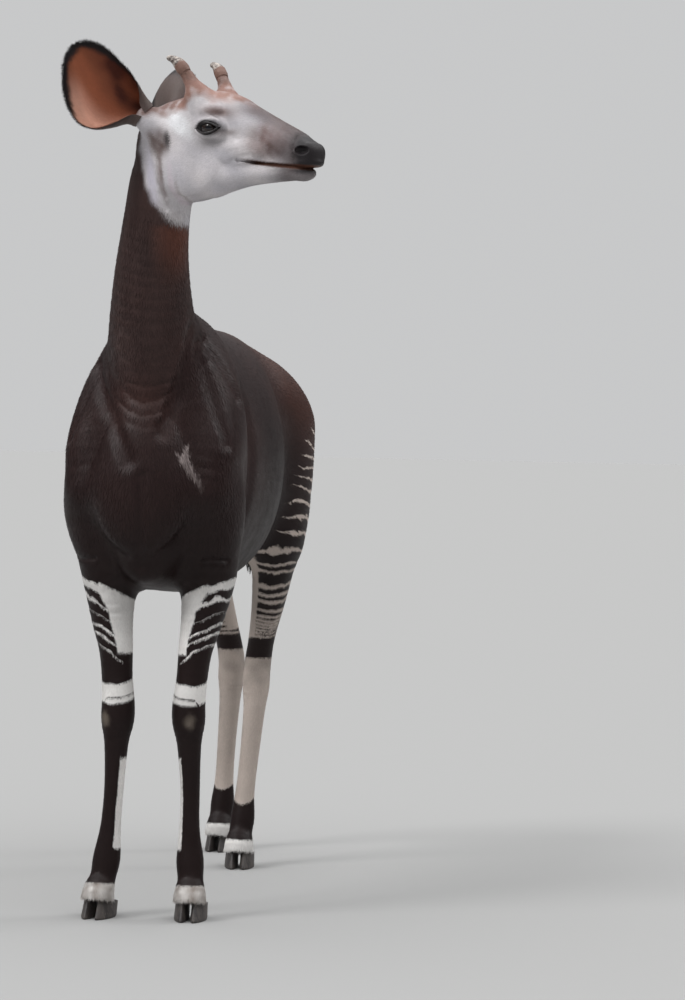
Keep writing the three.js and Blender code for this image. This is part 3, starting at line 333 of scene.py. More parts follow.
FORE_SHAPE = [
    [960, 74, 92, 92], [870, 74, 86, 84], [760, 57, 62, 62], [685, 46, 48, 50], [610, 41, 41, 42],
    [548, 43, 42, 40], [502, 43, 42, 42], [442, 32, 30, 35], [330, 26, 25, 31], [230, 27, 25, 33],
    [150, 36, 31, 40], [100, 34, 31, 37], [60, 42, 45, 44], [20, 43, 52, 45],
]
HIND_SHAPE = [
    [1000, 82, 100, 110], [900, 70, 86, 100], [770, 52, 64, 74], [650, 39, 45, 54],
    [565, 39, 44, 56], [505, 39, 44, 46], [440, 32, 34, 38], [310, 28, 28, 33], [210, 28, 28, 34],
    [140, 35, 32, 40], [98, 34, 31, 37], [60, 42, 45, 44], [20, 43, 52, 45],
]
FEET = {
    "fore_left": ((116, 12), 4),
    "fore_right": ((-116, -12), -6),
    "hind_left": ((51, 908), 6),
    "hind_right": ((-73, 1215), -4),
}
LEG_LINES = {
    "fore_left": [[136, 36], [138, 34], [126, 20], [114, 6], [108, -2], [103, -8], [103, -8],
                  [105, -6], [108, 2], [107, 8], [110, 6], [114, -2], [116, -14], [116, -16]],
    "fore_right": [[-118, 44], [-114, 42], [-104, 30], [-89, 14], [-82, 6], [-76, -2], [-76, -4],
                   [-79, -2], [-85, 6], [-93, 10], [-101, 8], [-108, 0], [-116, -14], [-117, -16]],
    "hind_left": [[128, 10], [138, -20], [119, 14], [92, 52], [77, 70], [74, 72], [72, 62],
                  [64, 44], [57, 30], [54, 18], [52, 4], [51, -12], [51, -14]],
    "hind_right": [[-112, -170], [-120, -120], [-98, -36], [-72, 20], [-60, 46], [-60, 50],
                   [-61, 44], [-66, 32], [-69, 24], [-71, 16], [-73, 4], [-73, -12], [-73, -14]],
}


def leg_rows(name):
    """Rows of a leg's limb, from its shape and its line."""
    shape = FORE_SHAPE if name.startswith("fore") else HIND_SHAPE
    base = FEET[name][0][1]
    return [[x, base + back, *row] for row, (x, back) in zip(shape, LEG_LINES[name])]


LEG_ROWS = {name: leg_rows(name) for name in FEET}
legs = {name: limb(rows, 4) for name, rows in LEG_ROWS.items()}
hock_points = [
    limb([[82, 992, 700, 17, 16, 14], [77, 1018, 620, 19, 18, 16], [75, 1016, 580, 20, 24, 14]]),
    limb([[-74, 1272, 700, 17, 16, 14], [-64, 1300, 622, 19, 18, 16], [-60, 1298, 582, 20, 24, 14]]),
]
TAIL_ROWS = [
    [0, 1060, 1340, 46], [0, 1120, 1330, 38], [0, 1165, 1308, 28], [0, 1200, 1264, 20],
    [0, 1220, 1200, 15], [0, 1228, 1110, 12.5], [0, 1228, 1030, 11], [0, 1226, 953.2, 10],
]
tail = limb([[x, y, z, size, size, size] for x, y, z, size in TAIL_ROWS])

# Head, in its own axes: f forward along the face, side to its left, up

HEAD_AT = np.array([73.0, -193.0, 1985.0])
HEAD_TURN = math.radians(62)
HEAD_FORWARD = np.array([math.sin(HEAD_TURN), -math.cos(HEAD_TURN), 0])
HEAD_SIDE = np.array([math.cos(HEAD_TURN), math.sin(HEAD_TURN), 0])
UP = np.array([0.0, 0.0, 1.0])
HEAD_FROM = 1650

EYE = {"f": 188, "side": 66, "up": -27, "radius": 23}
HORN = {"f": 138, "side": 55, "up": 58, "length": 118}
HORN_LEAN = {"out": 0.22, "back": 0.52, "up": 0.83}  # for each millimetre of its length
HORN_SKIN_END = 14.5  # the skin ends where the horn is thinner than this
# Share of the length, radius, lift, and how far it hooks backward
HORN_ROWS = [
    [-0.2, 29, 0, 0], [0.02, 26, 0, 0], [0.22, 21.5, 0, 0], [0.45, 17.5, 1, 0], [0.65, 15, 1, 1],
    [0.8, 14, 0, 5], [0.91, 12, -3, 11], [0.98, 8, -8, 17], [1, 3, -11, 20],
]
EAR = {"f": -4, "side": 67, "up": -3, "length": 266}
# Side, degrees away from the head, degrees of lift, roll
EARS = {"left": (1, 35, 17, -8), "right": (-1, 38, 40, 0)}
# Place along the ear, and radius of its root there
EAR_ROOT = [[-40, 36], [0, 35.5], [8, 35]]
MOUTH = {"corner": 268, "corner_up": -104, "tip": 450, "tip_up": -126, "depth": 5.5, "width": 3.2}
NOSTRIL = {"at": [444, 38, -86], "size": [17, 9, 7]}
LID = {"wide": 44, "tall": 29, "thick": 4, "opening": 34, "gap": 12.5, "floor": 8}


def head_point(f, side, up):
    """A point given in the head's own axes."""
    return HEAD_AT + HEAD_FORWARD * f + HEAD_SIDE * side + UP * up


def head_axes(p):
    """Points in the head's own axes: f, side, up."""
    q = p - HEAD_AT
    return q @ HEAD_FORWARD, q @ HEAD_SIDE, q[:, 2]


skull = barrel(
    [
        [-48, 18, -110, 50, 0.5], [0, 48, -130, 68, 0.55], [60, 62, -135, 74, 0.58],
        [120, 72, -128, 76, 0.6], [180, 70, -116, 74, 0.58], [230, 54, -112, 62, 0.55],
        [272, 32, -114, 53, 0.52], [345, -4, -118, 45, 0.5], [415, -38, -124, 42, 0.48],
        [448, -62, -126, 39, 0.46],
    ],
    cap=24, roof=2.3, floor=2.2,
)
jaw = barrel(
    [
        [20, -80, -178, 40, 0.5], [80, -70, -198, 54, 0.5], [150, -76, -188, 52, 0.5],
        [250, -92, -166, 42, 0.5], [350, -100, -158, 36, 0.5], [420, -104, -156, 33, 0.5],
    ],
    cap=24, roof=2.1, floor=2.1,
)
# Forms of the head in pairs and on its middle: f, side, up; sizes; fillet
HEAD_PAIRS = [
    ([105, 46, -112], [88, 26, 72], 26),
    ([180, 62, -16], [42, 27, 36], 22),
    ([172, 62, 16], [44, 20, 16], 18),
    ([130, 50, 52], [36, 28, 26], 24),
    ([250, 36, -84], [70, 22, 26], 26),
    ([432, 22, -84], [30, 19, 22], 12),
]
HEAD_MIDDLE = [([436, 0, -114], [36, 37, 15], 12), ([424, 0, -140], [30, 28, 15], 12)]


def stretched(f, side, up, at, size):
    """Distance to a ball stretched along the head's axes."""
    u = f - at[0]
    v = side - at[1]
    w = up - at[2]
    ratio = np.sqrt((u / size[0]) ** 2 + (v / size[1]) ** 2 + (w / size[2]) ** 2)
    return oval_distance(np.sqrt(u * u + v * v + w * w), ratio, min(size))


def mouth_height(f):
    """How high the line of the mouth is at each place along the face."""
    t = np.clip((f - MOUTH["corner"]) / (MOUTH["tip"] - MOUTH["corner"]), 0, 1)
    return MOUTH["corner_up"] + (MOUTH["tip_up"] - MOUTH["corner_up"]) * t**0.8


def ear_axes(which):
    """Side, the ways along, open and across an ear, and the point of its root."""
    s, away, lift, roll = EARS[which]
    away, lift = math.radians(away), math.radians(lift)
    along = (
        HEAD_FORWARD * -math.cos(away) * math.cos(lift)
        + HEAD_SIDE * s * math.sin(away) * math.cos(lift)
        + UP * math.sin(lift)
    )
    opening = Vector(HEAD_FORWARD * math.sin(away) + HEAD_SIDE * s * math.cos(away))
    opening.rotate(Matrix.Rotation(math.radians(roll) * s, 3, Vector(along)))
    opening = np.array(opening)
    opening = unit(opening - along * (opening @ along))
    across = unit(np.cross(opening, along))
    return s, along, opening, across, head_point(EAR["f"], s * EAR["side"], EAR["up"])


def ear_root(which):
    _, along, _, _, root = ear_axes(which)
    return limb([[*(root + along * reach), size, size, size] for reach, size in EAR_ROOT], 3)


ear_roots = [ear_root(which) for which in EARS]


def horn_rows(s):
    """Rows of a horn's line: x, y, z and radius."""
    out = []
    for share, size, lift, back in HORN_ROWS:
        reach = share * HORN["length"]
        f = HORN["f"] - reach * HORN_LEAN["back"] - back
        side = s * (HORN["side"] + reach * HORN_LEAN["out"])
        at = head_point(f, side, HORN["up"] + reach * HORN_LEAN["up"] + lift)
        out.append([*at, size])
    return out


def horn_skin(s):
    """The part of a horn that the skin covers."""
    rows = [row for row in horn_rows(s) if row[3] > HORN_SKIN_END]
    return limb([[*row[:3], row[3] - 0.5, row[3] - 0.5, row[3] - 0.5] for row in rows], 4)


horn_skins = both(horn_skin)


def head_field(p, base):
    """Distance to the head, joined to the given distance to the neck."""
    f, side, up = head_axes(p)
    a = np.abs(side)
    d = soft(skull(f, side, up), jaw(f, side, up), 24)
    for at, size, fillet in HEAD_PAIRS + HEAD_MIDDLE:
        d = soft(d, stretched(f, a, up, at, size), fillet)
    d = soft(d, base, 46)
    for root in ear_roots:
        d = soft(d, root(p), 26)
    for horn in horn_skins:
        d = soft(d, horn(p), 20)
    slit_on = f > MOUTH["corner"] - 20
    fade = np.clip((f - MOUTH["corner"]) / 14, -1, 1)
    slit = np.abs(up - mouth_height(f)) - MOUTH["width"] * (1 + d / MOUTH["depth"]) * fade
    d = np.where(slit_on, carve(d, np.maximum(slit, -(d + MOUTH["depth"])), 4), d)
    d = carve(d, stretched(f, a, up, NOSTRIL["at"], NOSTRIL["size"]), 5)
    lid = [LID["wide"], EYE["radius"] + LID["thick"], LID["tall"]]
    d = soft(d, stretched(f, a, up, [EYE["f"], EYE["side"], EYE["up"]], lid), 12)
    along = (f - EYE["f"]) / LID["opening"]
    across = np.abs(up - EYE["up"]) - LID["gap"] * (1 - along * along)
    return carve(d, np.maximum(across, EYE["side"] + LID["floor"] - a), 3)


BODY_PARTS = (
    [(withers, 60)]
    + [(form, 60) for form in shoulders]
    + [(form, 50) for form in upper_arms]
    + [(form, 44) for form in triceps]
    + [(breast, 60), (breast_bone, 60)]
    + [(form, 70) for form in croups + haunches]
    + [(form, 50) for form in buttocks]
    + [(legs["fore_left"], 44), (legs["fore_right"], 44)]
    + [(legs["hind_left"], 50), (legs["hind_right"], 50)]
    + [(form, 16) for form in hock_points]
    + [(neck, 90), (tail, 24)]
)


def flesh(p):
    """The whole flesh: about the distance to its surface, negative inside."""
    out = np.empty(len(p))
    high = p[:, 2] >= HEAD_FROM
    if high.any():
        q = p[high]
        out[high] = head_field(q, neck(q))
    if (~high).any():
        q = p[~high]
        d = np.full(len(q), FAR)
        trunk = q[:, 2] > TRUNK_FROM
        if trunk.any():
            t = q[trunk]
            d[trunk] = trunk_barrel(t[:, 1], t[:, 0], t[:, 2])
        for form, fillet in BODY_PARTS:
            d = soft(d, form(q), fillet)
        out[~high] = d
    return out


# Folds of the skin: depth, width, and a line along the surface; a ridge has a negative depth
FOLDS = {
    "neck_left": (15, 17, [[111, -87, 1484], [102, -105, 1428], [91, -109, 1372], [83, -112, 1322],
                          [70, -133, 1272], [60, -160, 1229]]),
    "neck_right": (15, 18, [[-150, -10, 1400], [-119, -79, 1338], [-93, -109, 1288],
                            [-63, -152, 1245], [-35, -181, 1190], [-18, -190, 1160]]),
    "neck_edge_left": (-8, 14, [[96, -122, 1440], [80, -134, 1372], [72, -137, 1322],
                                [58, -156, 1272]]),
    "shoulder_front": (10, 16, [[117, -53, 1448], [132, -41, 1399], [154, -47, 1337],
                               [177, -60, 1275], [204, -65, 1207]]),
    "shoulder_back": (11, 17, [[127, 12, 1456], [160, 28, 1407], [185, 37, 1364], [203, 47, 1320]]),
    "shoulder_right_front": (10, 16, [[-140, -30, 1400], [-158, -45, 1337], [-180, -58, 1275],
                                     [-200, -62, 1207]]),
    "shoulder_right_back": (11, 17, [[-150, 40, 1440], [-176, 48, 1390], [-196, 55, 1330]]),
    "throat_1": (1.3, 7, [[-28, -147, 1351], [5, -152, 1339], [36, -146, 1343], [64, -133, 1356]]),
    "throat_2": (2.0, 9, [[-55, -133, 1344], [-27, -147, 1314], [7, -154, 1301],
                          [42, -143, 1309], [74, -119, 1331]]),
    "throat_3": (1.7, 7, [[-71, -119, 1313], [-31, -154, 1283], [7, -164, 1270],
                          [39, -154, 1275], [67, -128, 1291]]),
    "throat_4": (1.2, 8, [[-61, -136, 1282], [-21, -167, 1252], [12, -172, 1240], [53, -157, 1247]]),
    "behind_shoulder_left": (15, 30, [[196, 150, 1330], [209, 168, 1250], [217, 176, 1170],
                                      [213, 172, 1090], [195, 158, 1010], [175, 142, 950]]),
    "behind_shoulder_right": (15, 30, [[-196, 150, 1330], [-209, 168, 1250], [-217, 176, 1170],
                                       [-213, 172, 1090], [-195, 158, 1010], [-170, 142, 950]]),
    "breast": (9, 13, [[16, -196, 1121], [19, -196, 1062], [20, -189, 1013], [12, -164, 951],
                       [2, -118, 893]]),
    "elbow_right": (6, 7, [[-194, 2, 907], [-160, -40, 906], [-135, -53, 910]]),
    "elbow_left": (6, 7, [[142, -41, 911], [163, -39, 916], [192, -11, 914]]),
    "cheek_right": (3.4, 8, [[27, -252, 1933], [37, -248, 1878], [56, -247, 1818], [76, -235, 1775]]),
    "cheek_right_low": (2.6, 6, [[61, -263, 1889], [65, -258, 1841], [76, -245, 1801]]),
}
# The same on the head, which is alike on both sides: f, side, up
HEAD_FOLDS = {
    "lid_upper": (2.6, 4, [[146, 70, -12], [164, 76, 4], [190, 78, 7], [216, 72, -8]]),
    "lid_lower": (2.0, 4, [[150, 74, -40], [172, 76, -56], [200, 72, -58], [226, 66, -44]]),
    "tear_line": (2.2, 5, [[222, 68, -32], [240, 62, -44], [262, 56, -54]]),
    "mouth_corner": (2.6, 6, [[232, 52, -112], [262, 52, -96], [300, 50, -92]]),
    "chin": (2.2, 6, [[300, 44, -128], [345, 42, -134], [400, 38, -136]]),
    "cheek_bone": (-2.5, 12, [[150, 74, -62], [220, 64, -72], [290, 54, -66]]),
    "nostril_rim": (-2.4, 6, [[424, 42, -92], [434, 44, -76], [452, 40, -76]]),
}


def line_distance(p, line):
    """Distance from points to a bent line; a fourth number in its rows is its reach there."""
    line = np.asarray(line, float)
    best = np.full(len(p), FAR)
    for a, b in zip(line[:-1], line[1:]):
        run = b[:3] - a[:3]
        t = np.clip((p - a[:3]) @ run / (run @ run), 0, 1)
        away = np.linalg.norm(p - a[:3] - t[:, None] * run, axis=1)
        if len(a) > 3:
            away = away - a[3] - t * (b[3] - a[3])
        best = np.minimum(best, away)
    return best


def near_line(p, line, reach):
    """Which points lie in the box round a line."""
    line = np.asarray(line, float)
    return ((p > line.min(0) - reach) & (p < line.max(0) + reach)).all(1)


def fold_depth(p):
    """How much the folds take off the skin at each point."""
    out = np.zeros(len(p))
    f, side, up = head_axes(p)
    on_head = np.stack([f, np.abs(side), up], 1)
    for table, q in ((FOLDS, p), (HEAD_FOLDS, on_head)):
        for depth, width, line in table.values():
            mine = near_line(q, line, width * 2.4)
            if mine.any():
                out[mine] += depth * np.exp(-((line_distance(q[mine], line) / width) ** 2))
    return out


COAT_DEPTH = {"least": 1.6, "body": 3.6, "head": 2.0}


def coat_depth(p):
    """How far the skin lies inside the outline: thick on the body, thin on face and legs."""
    body = COAT_DEPTH["body"] * smooth_step(p[:, 2], 500, 900)
    head = COAT_DEPTH["head"] * smooth_step(p[:, 2], 1760, 1860)
    return COAT_DEPTH["least"] + np.maximum(body - head, 0)


# The line where the hooves begin: height, rise toward the front, and how high it is looked for
CORONET = {"height": 42, "slope": 0.24, "search": 120}
FORE_END = 400  # the fore legs lie before this
HIND_FROM = 500  # and the hind legs behind this


def below_coronet(p):
    """Distance under the line where the hooves begin, positive on the hooves' side."""
    out = np.full(len(p), -FAR)
    low = p[:, 2] < CORONET["search"]
    for name, ((x, y), toe) in FEET.items():
        fore = name.startswith("fore")
        mine = low & ((p[:, 0] > 0) == (x > 0)) & ((p[:, 1] < FORE_END) == fore)
        turn = math.radians(toe)
        way = np.array([math.sin(turn) * -CORONET["slope"], math.cos(turn) * CORONET["slope"], 1])
        q = p[mine] - np.array([x, y, CORONET["height"]])
        out[mine] = -(q @ way) / np.linalg.norm(way)
    return out


def skin_field(p):
    """Distance to the skin: the flesh less coat and folds, down to the hooves."""
    return soft_most(flesh(p) + coat_depth(p) + fold_depth(p), below_coronet(p), 4)


def gradient(field, p, step=0.8):
    """The way in which a field grows fastest, from four points round each."""
    corners = np.array([[1, -1, -1], [-1, -1, 1], [-1, 1, -1], [1, 1, 1]], float)
    total = np.zeros_like(p)
    for corner in corners:
        total += corner * field(p + corner * step)[:, None]
    return unit(total)


# Skin: cells of several sizes along the surface, one vertex in each, joined across edges

CELLS = [64.0, 32.0, 16.0, 8.0, 4.0, 2.0]
COARSE, MEDIUM, FINE, FINEST = 2, 3, 4, 5  # their numbers in the row
SMALLEST = CELLS[-1]
CELL_CORNERS = np.array([[i, j, k] for i in (0, 1) for j in (0, 1) for k in (0, 1)])
KEY_MIDDLE = 4096  # makes the numbers of all cells positive
KEY_BITS = 21
SCAR_MIDDLE = np.array([118, -132, 1148])
SCAR_REACH = 62
SKIN_BOX = ([-330, -640, 30], [560, 1430, 2180])
PULL = 0.5  # share of the way to the middle of its neighbours that a vertex goes
FARTHEST = 6  # a vertex goes back to the skin by this much at most


def wanted_level(p):
    """Which size of cell a place asks for."""
    level = np.full(len(p), COARSE)
    f, side, up = head_axes(p)
    low_leg = p[:, 2] < 800
    level[low_leg] = MEDIUM
    on_tail = (np.abs(p[:, 0]) < 60) & (p[:, 1] > 1130)
    level[on_tail] = FINE
    neck_top = (p[:, 2] > 1500) & (p[:, 1] < 40)
    level[neck_top] = MEDIUM
    for _, width, line in FOLDS.values():
        close = near_line(p, line, width * 1.6)
        close[close] = line_distance(p[close], line) < width * 1.6
        level[close] = np.maximum(level[close], FINE if width < 11 else MEDIUM)
    level[np.linalg.norm(p - SCAR_MIDDLE, axis=1) < SCAR_REACH] = FINE
    head = (p[:, 2] > 1770) & (f > -60)
    level[head] = FINE
    eye = (np.abs(f - EYE["f"]) < 42) & (np.abs(up - EYE["up"]) < 30)
    lips = (f > 400) & (np.abs(up + 96) < 42)
    slit = (f > 250) & (np.abs(up - mouth_height(f)) < 9)
    level[head & (eye | lips | slit) & (np.abs(side) < 110)] = FINEST
    return level


def cell_keys(index):
    """One number for each cell."""
    index = index + KEY_MIDDLE
    return (index[:, 0] << 2 * KEY_BITS) | (index[:, 1] << KEY_BITS) | index[:, 2]


def key_cells(keys):
    """The cells back from their numbers."""
    mask = (1 << KEY_BITS) - 1
    return np.stack([keys >> 2 * KEY_BITS, (keys >> KEY_BITS) & mask, keys & mask], 1) - KEY_MIDDLE


def leaf_cells(low, high):
    """Cells along the surface, from coarse to fine, each as large as its place allows."""
    size = CELLS[0]
    steps = [np.arange(math.floor(a / size), math.ceil(b / size)) for a, b in zip(low, high)]
    index = np.stack(np.meshgrid(*steps, indexing="ij"), -1).reshape(-1, 3)
    leaves = []
    for level, size in enumerate(CELLS):
        d = np.abs(skin_field((index + 0.5) * size))
        index = index[d < size * (1.5 if level < COARSE else 1.3) + 3]
        done = (wanted_level((index + 0.5) * size) <= level) | (size == SMALLEST)
        leaves.append(index[done])
        index = (index[~done][:, None] * 2 + CELL_CORNERS[None]).reshape(-1, 3)
    return leaves


def find_leaf(tables, point):
    """The finest leaf that holds each point, as its number, or -1, and its level."""
    found = np.full(len(point), -1)
    levels = np.full(len(point), -1)
    for level in range(len(CELLS) - 1, -1, -1):
        keys, first = tables[level]
        if not len(keys):
            continue
        key = cell_keys(np.floor(point / CELLS[level]).astype(np.int64))
        spot = np.minimum(np.searchsorted(keys, key), len(keys) - 1)
        hit = (keys[spot] == key) & (found < 0)
        found[hit] = first + spot[hit]
        levels[hit] = level
    return found, levels


def cell_edges(tables):
    """All edges of the cells: axis, length and start, counted in the smallest cells."""
    edges = []
    for level, (keys, _) in enumerate(tables):
        scale = int(round(CELLS[level] / SMALLEST))
        corners = (key_cells(keys)[:, None] + CELL_CORNERS[None]) * scale
        for axis in range(3):
            starts = corners[:, CELL_CORNERS[:, axis] == 0].reshape(-1, 3)
            start = key_cells(np.unique(cell_keys(starts)))
            edges.append((np.full(len(start), axis), np.full(len(start), scale), start))
    return [np.concatenate(found) for found in zip(*edges)]


def crossed_edges(tables):
    """The edges that the skin crosses, with both ends and the field's values there."""
    axes, scales, starts = cell_edges(tables)
    ends = starts.copy()
    ends[np.arange(len(ends)), axes] += scales
    both_ends = np.concatenate([starts, ends])
    _, where, back = np.unique(cell_keys(both_ends), return_index=True, return_inverse=True)
    values = skin_field(both_ends[where] * SMALLEST)[back.reshape(-1)]
    a, b = np.split(values, 2)
    cross = (a < 0) != (b < 0)
    return [v[cross] for v in (axes, scales, starts, ends, a, b)]


def contour(low, high):
    """Vertices and triangles of the skin."""
    tables = []
    first = 0
    for index in leaf_cells(low, high):
        tables.append((np.sort(cell_keys(index)), first))
        first += len(index)
    axes, scales, starts, ends, a, b = crossed_edges(tables)
    middle = (starts + ends) * 0.5 * SMALLEST
    spots = starts + (ends - starts) * (a / (a - b))[:, None]
    quads = np.empty((len(axes), 4), int)
    good = np.ones(len(axes), bool)
    rows = np.arange(len(axes))
    for n, (s, t) in enumerate([(-1, -1), (1, -1), (1, 1), (-1, 1)]):
        shift = np.zeros_like(middle)
        shift[rows, (axes + 1) % 3] = s * SMALLEST * 0.25
        shift[rows, (axes + 2) % 3] = t * SMALLEST * 0.25
        ids, levels = find_leaf(tables, middle + shift)
        sizes = np.array(CELLS)[np.maximum(levels, 0)] / SMALLEST
        good &= (ids >= 0) & (sizes >= scales)
        quads[:, n] = ids
    quads, spots, a = quads[good], spots[good] * SMALLEST, a[good]
    quads[a >= 0] = quads[a >= 0][:, ::-1]
    total = np.zeros((first, 3))
    count = np.zeros(first)
    for n in range(4):
        np.add.at(total, quads[:, n], spots)
        np.add.at(count, quads[:, n], 1)
    used = np.nonzero(count)[0]
    renumber = np.full(first, -1)
    renumber[used] = np.arange(len(used))
    points = total[used] / count[used, None]
    return points, split_quads(points, renumber[quads])


def split_quads(points, quads):
    """Two triangles for each quad, along its shorter way across, without empty ones."""
    one = np.linalg.norm(points[quads[:, 0]] - points[quads[:, 2]], axis=1)
    two = np.linalg.norm(points[quads[:, 1]] - points[quads[:, 3]], axis=1)
    flip = one > two
    quads[flip] = np.roll(quads[flip], 1, axis=1)
    faces = np.concatenate([quads[:, [0, 1, 2]], quads[:, [0, 2, 3]]])
    same = (faces == np.roll(faces, 1, axis=1)).any(1)
    return faces[~same]


def settle(points, faces, passes):
    """Even out the triangles along the surface, and put each vertex back on it."""
    pairs = np.concatenate([faces[:, [0, 1]], faces[:, [1, 2]], faces[:, [2, 0]]])
    count = np.bincount(pairs.reshape(-1), minlength=len(points))
    for turn in range(passes):
        normal = gradient(skin_field, points)
        if turn:
            total = np.zeros_like(points)
            np.add.at(total, pairs[:, 0], points[pairs[:, 1]])
            np.add.at(total, pairs[:, 1], points[pairs[:, 0]])
            pull = total / np.maximum(count, 1)[:, None] - points
            pull -= normal * (pull * normal).sum(1)[:, None]
            points = points + pull * PULL
        for _ in range(2):
            points = points - normal * np.clip(skin_field(points), -FARTHEST, FARTHEST)[:, None] * 0.9
    return points, gradient(skin_field, points)


class Piece:
    """A mesh in the making: points, faces, normals, and what the coat needs at each point."""

    def __init__(self, points, faces, normals):
        self.points = points
        self.faces = faces
        self.normals = normals
        self.values = {}
        self.corner_uv = None


def flesh_piece():
    points, faces = contour(*SKIN_BOX)
    points, normals = settle(points, faces, 3)
    return Piece(points, faces, normals)


# Where each part of the coat is: 0 trunk, 1 neck, 2 head, 3 to 6 legs, 7 tail

LEG_ORDER = ["fore_left", "fore_right", "hind_left", "hind_right"]
NECK_TABLE = catmull_rows(NECK_ROWS, 5)
TRUNK_AXIS = 1165  # height of the line that the trunk is unwrapped round


TRUNK, NECK, HEAD, LEGS, TAIL = 0, 1, 2, 3, 7


def leg_of(p):
    """Number of the leg that a low point belongs to."""
    right = p[:, 0] < 0
    hind = p[:, 1] > HIND_FROM
    return right.astype(int) + 2 * hind


def above_trunk(p):
    """How far past the plane where the neck leaves the trunk."""
    return (p[:, 1] - 60) * -0.78 + (p[:, 2] - 1512) * 0.62


def past_nape(f, up):
    """How far past the plane where the head leaves the neck."""
    return (f + 18) * 0.62 + (up + 120) * 0.78


def part_of(p):
    """Number of the coat's part at each point."""
    f, _, up = head_axes(p)
    out = np.full(len(p), TRUNK)
    out[above_trunk(p) > 0] = NECK
    out[(past_nape(f, up) > 0) & (p[:, 2] > HEAD_FROM)] = HEAD
    leg = p[:, 2] < np.where(p[:, 1] > HIND_FROM, 860, 840)
    out[leg] = LEGS + leg_of(p[leg])
    hangs = (np.abs(p[:, 0]) < 36) & (p[:, 2] > 940)
    out[hangs & (p[:, 1] > np.where(p[:, 2] < 1210, 1200, 1172))] = TAIL
    return out


def leg_axes(p, leg):
    """Angle round the leg, 0 ahead and positive outward, and distance from its middle."""
    angle = np.zeros(len(p))
    radius = np.zeros(len(p))
    for n, name in enumerate(LEG_ORDER):
        mine = leg == n
        if not mine.any():
            continue
        rows = np.array(LEG_ROWS[name])[::-1]
        q = p[mine]
        x = q[:, 0] - np.interp(q[:, 2], rows[:, 2], rows[:, 0])
        y = q[:, 1] - np.interp(q[:, 2], rows[:, 2], rows[:, 1])
        out = 1 if name.endswith("left") else -1
        angle[mine] = np.arctan2(x * out, -y)
        radius[mine] = np.hypot(x, y)
    return angle, radius


# Atlas: each part's own rectangle of the unwrap, x, y, width, height
ATLAS = [
    (0.01, 0.01, 0.60, 0.60),
    (0.64, 0.01, 0.35, 0.32),
    (0.64, 0.35, 0.35, 0.27),
    (0.01, 0.64, 0.14, 0.35),
    (0.17, 0.64, 0.14, 0.35),
    (0.33, 0.64, 0.14, 0.35),
    (0.49, 0.64, 0.14, 0.35),
    (0.645, 0.64, 0.02, 0.35),
]


def unwrap(p, part):
    """Turns round each part's axis, and a share of the way along it."""
    turn = np.zeros(len(p))
    way = np.zeros(len(p))
    mine = part == TRUNK
    q = p[mine]
    radius = np.hypot(q[:, 0], q[:, 2] - TRUNK_AXIS)
    cap = smooth_step(-q[:, 1], -60, 60) * -1 + smooth_step(q[:, 1], 900, 1060)
    turn[mine] = np.arctan2(q[:, 0], q[:, 2] - TRUNK_AXIS)
    way[mine] = (q[:, 1] + cap * (320 - radius) + 520) / 2050
    mine = part == NECK
    q = p[mine]
    x = q[:, 0] - np.interp(q[:, 2], NECK_TABLE[:, 2], NECK_TABLE[:, 0])
    y = q[:, 1] - np.interp(q[:, 2], NECK_TABLE[:, 2], NECK_TABLE[:, 1])
    turn[mine] = np.arctan2(x, -y)
    way[mine] = (q[:, 2] - 1150) / 950
    mine = part == HEAD
    q = p[mine]
    f, side, up = head_axes(q)
    middle = np.interp(f, [-100, 100, 450], [-60, -50, -98])
    radius = np.hypot(side, up - middle)
    turn[mine] = np.arctan2(side, up - middle)
    cap = smooth_step(f, 380, 450) - smooth_step(-f, 0, 80)
    way[mine] = (f + cap * (70 - radius) + 180) / 720
    for n in range(4):
        mine = part == LEGS + n
        turn[mine] = leg_axes(p[mine], np.full(mine.sum(), n))[0]
        way[mine] = (p[mine][:, 2] - 20) / 860
    mine = part == TAIL
    q = p[mine]
    y = q[:, 1] - np.interp(q[:, 2], *np.array([(r[2], r[1]) for r in TAIL_ROWS[::-1]]).T)
    turn[mine] = np.arctan2(q[:, 0], y)
    way[mine] = (q[:, 2] - 940) / 420
    return turn / (2 * math.pi), way


def atlas_place(turn, way, part):
    """Place in the part's rectangle of the unwrap."""
    rect = np.array(ATLAS)[part]
    u = rect[:, 0] + rect[:, 2] * (0.5 + turn / 1.08)
    v = rect[:, 1] + rect[:, 3] * np.clip(way, 0, 1)
    return np.stack([u, v], 1)


def corner_unwrap(points, faces):
    """UV of every corner, each face kept whole inside one part's rectangle."""
    middle = points[faces].mean(1)
    part = part_of(middle)
    home, _ = unwrap(middle, part)
    out = np.empty((len(faces), 3, 2))
    for n in range(3):
        turn, way = unwrap(points[faces[:, n]], part)
        turn += np.round(home - turn)
        out[:, n] = atlas_place(turn, way, part)
    return out.reshape(-1, 2)


# Colours of the coat, as light in red, green and blue

DARK = np.array([0.0230, 0.0115, 0.0112])
RUST = np.array([0.085, 0.028, 0.017])
THROAT = np.array([0.150, 0.050, 0.030])
GREY = np.array([0.45, 0.41, 0.42])
BROW = np.array([0.20, 0.085, 0.055])
CROWN = np.array([0.315, 0.160, 0.120])
CROWN_DARK = np.array([0.185, 0.095, 0.075])
CHEEK = np.array([0.520, 0.500, 0.530])
CHEEK_LIGHT = np.array([0.660, 0.625, 0.635])
STRIP = np.array([0.620, 0.590, 0.660])
EAR_SHADE = np.array([0.110, 0.068, 0.058])
MUZZLE = np.array([0.240, 0.165, 0.155])
BRIDGE = np.array([0.115, 0.086, 0.086])
HORN_SKIN = np.array([0.190, 0.108, 0.084])
BLACK = np.array([0.012, 0.010, 0.011])
WHITE = np.array([0.74, 0.72, 0.70])
CREAM = np.array([0.49, 0.42, 0.375])
BRIGHT = np.array([0.88, 0.88, 0.90])
NAPE = np.array([0.058, 0.034, 0.031])
SCAR = np.array([0.36, 0.30, 0.29])
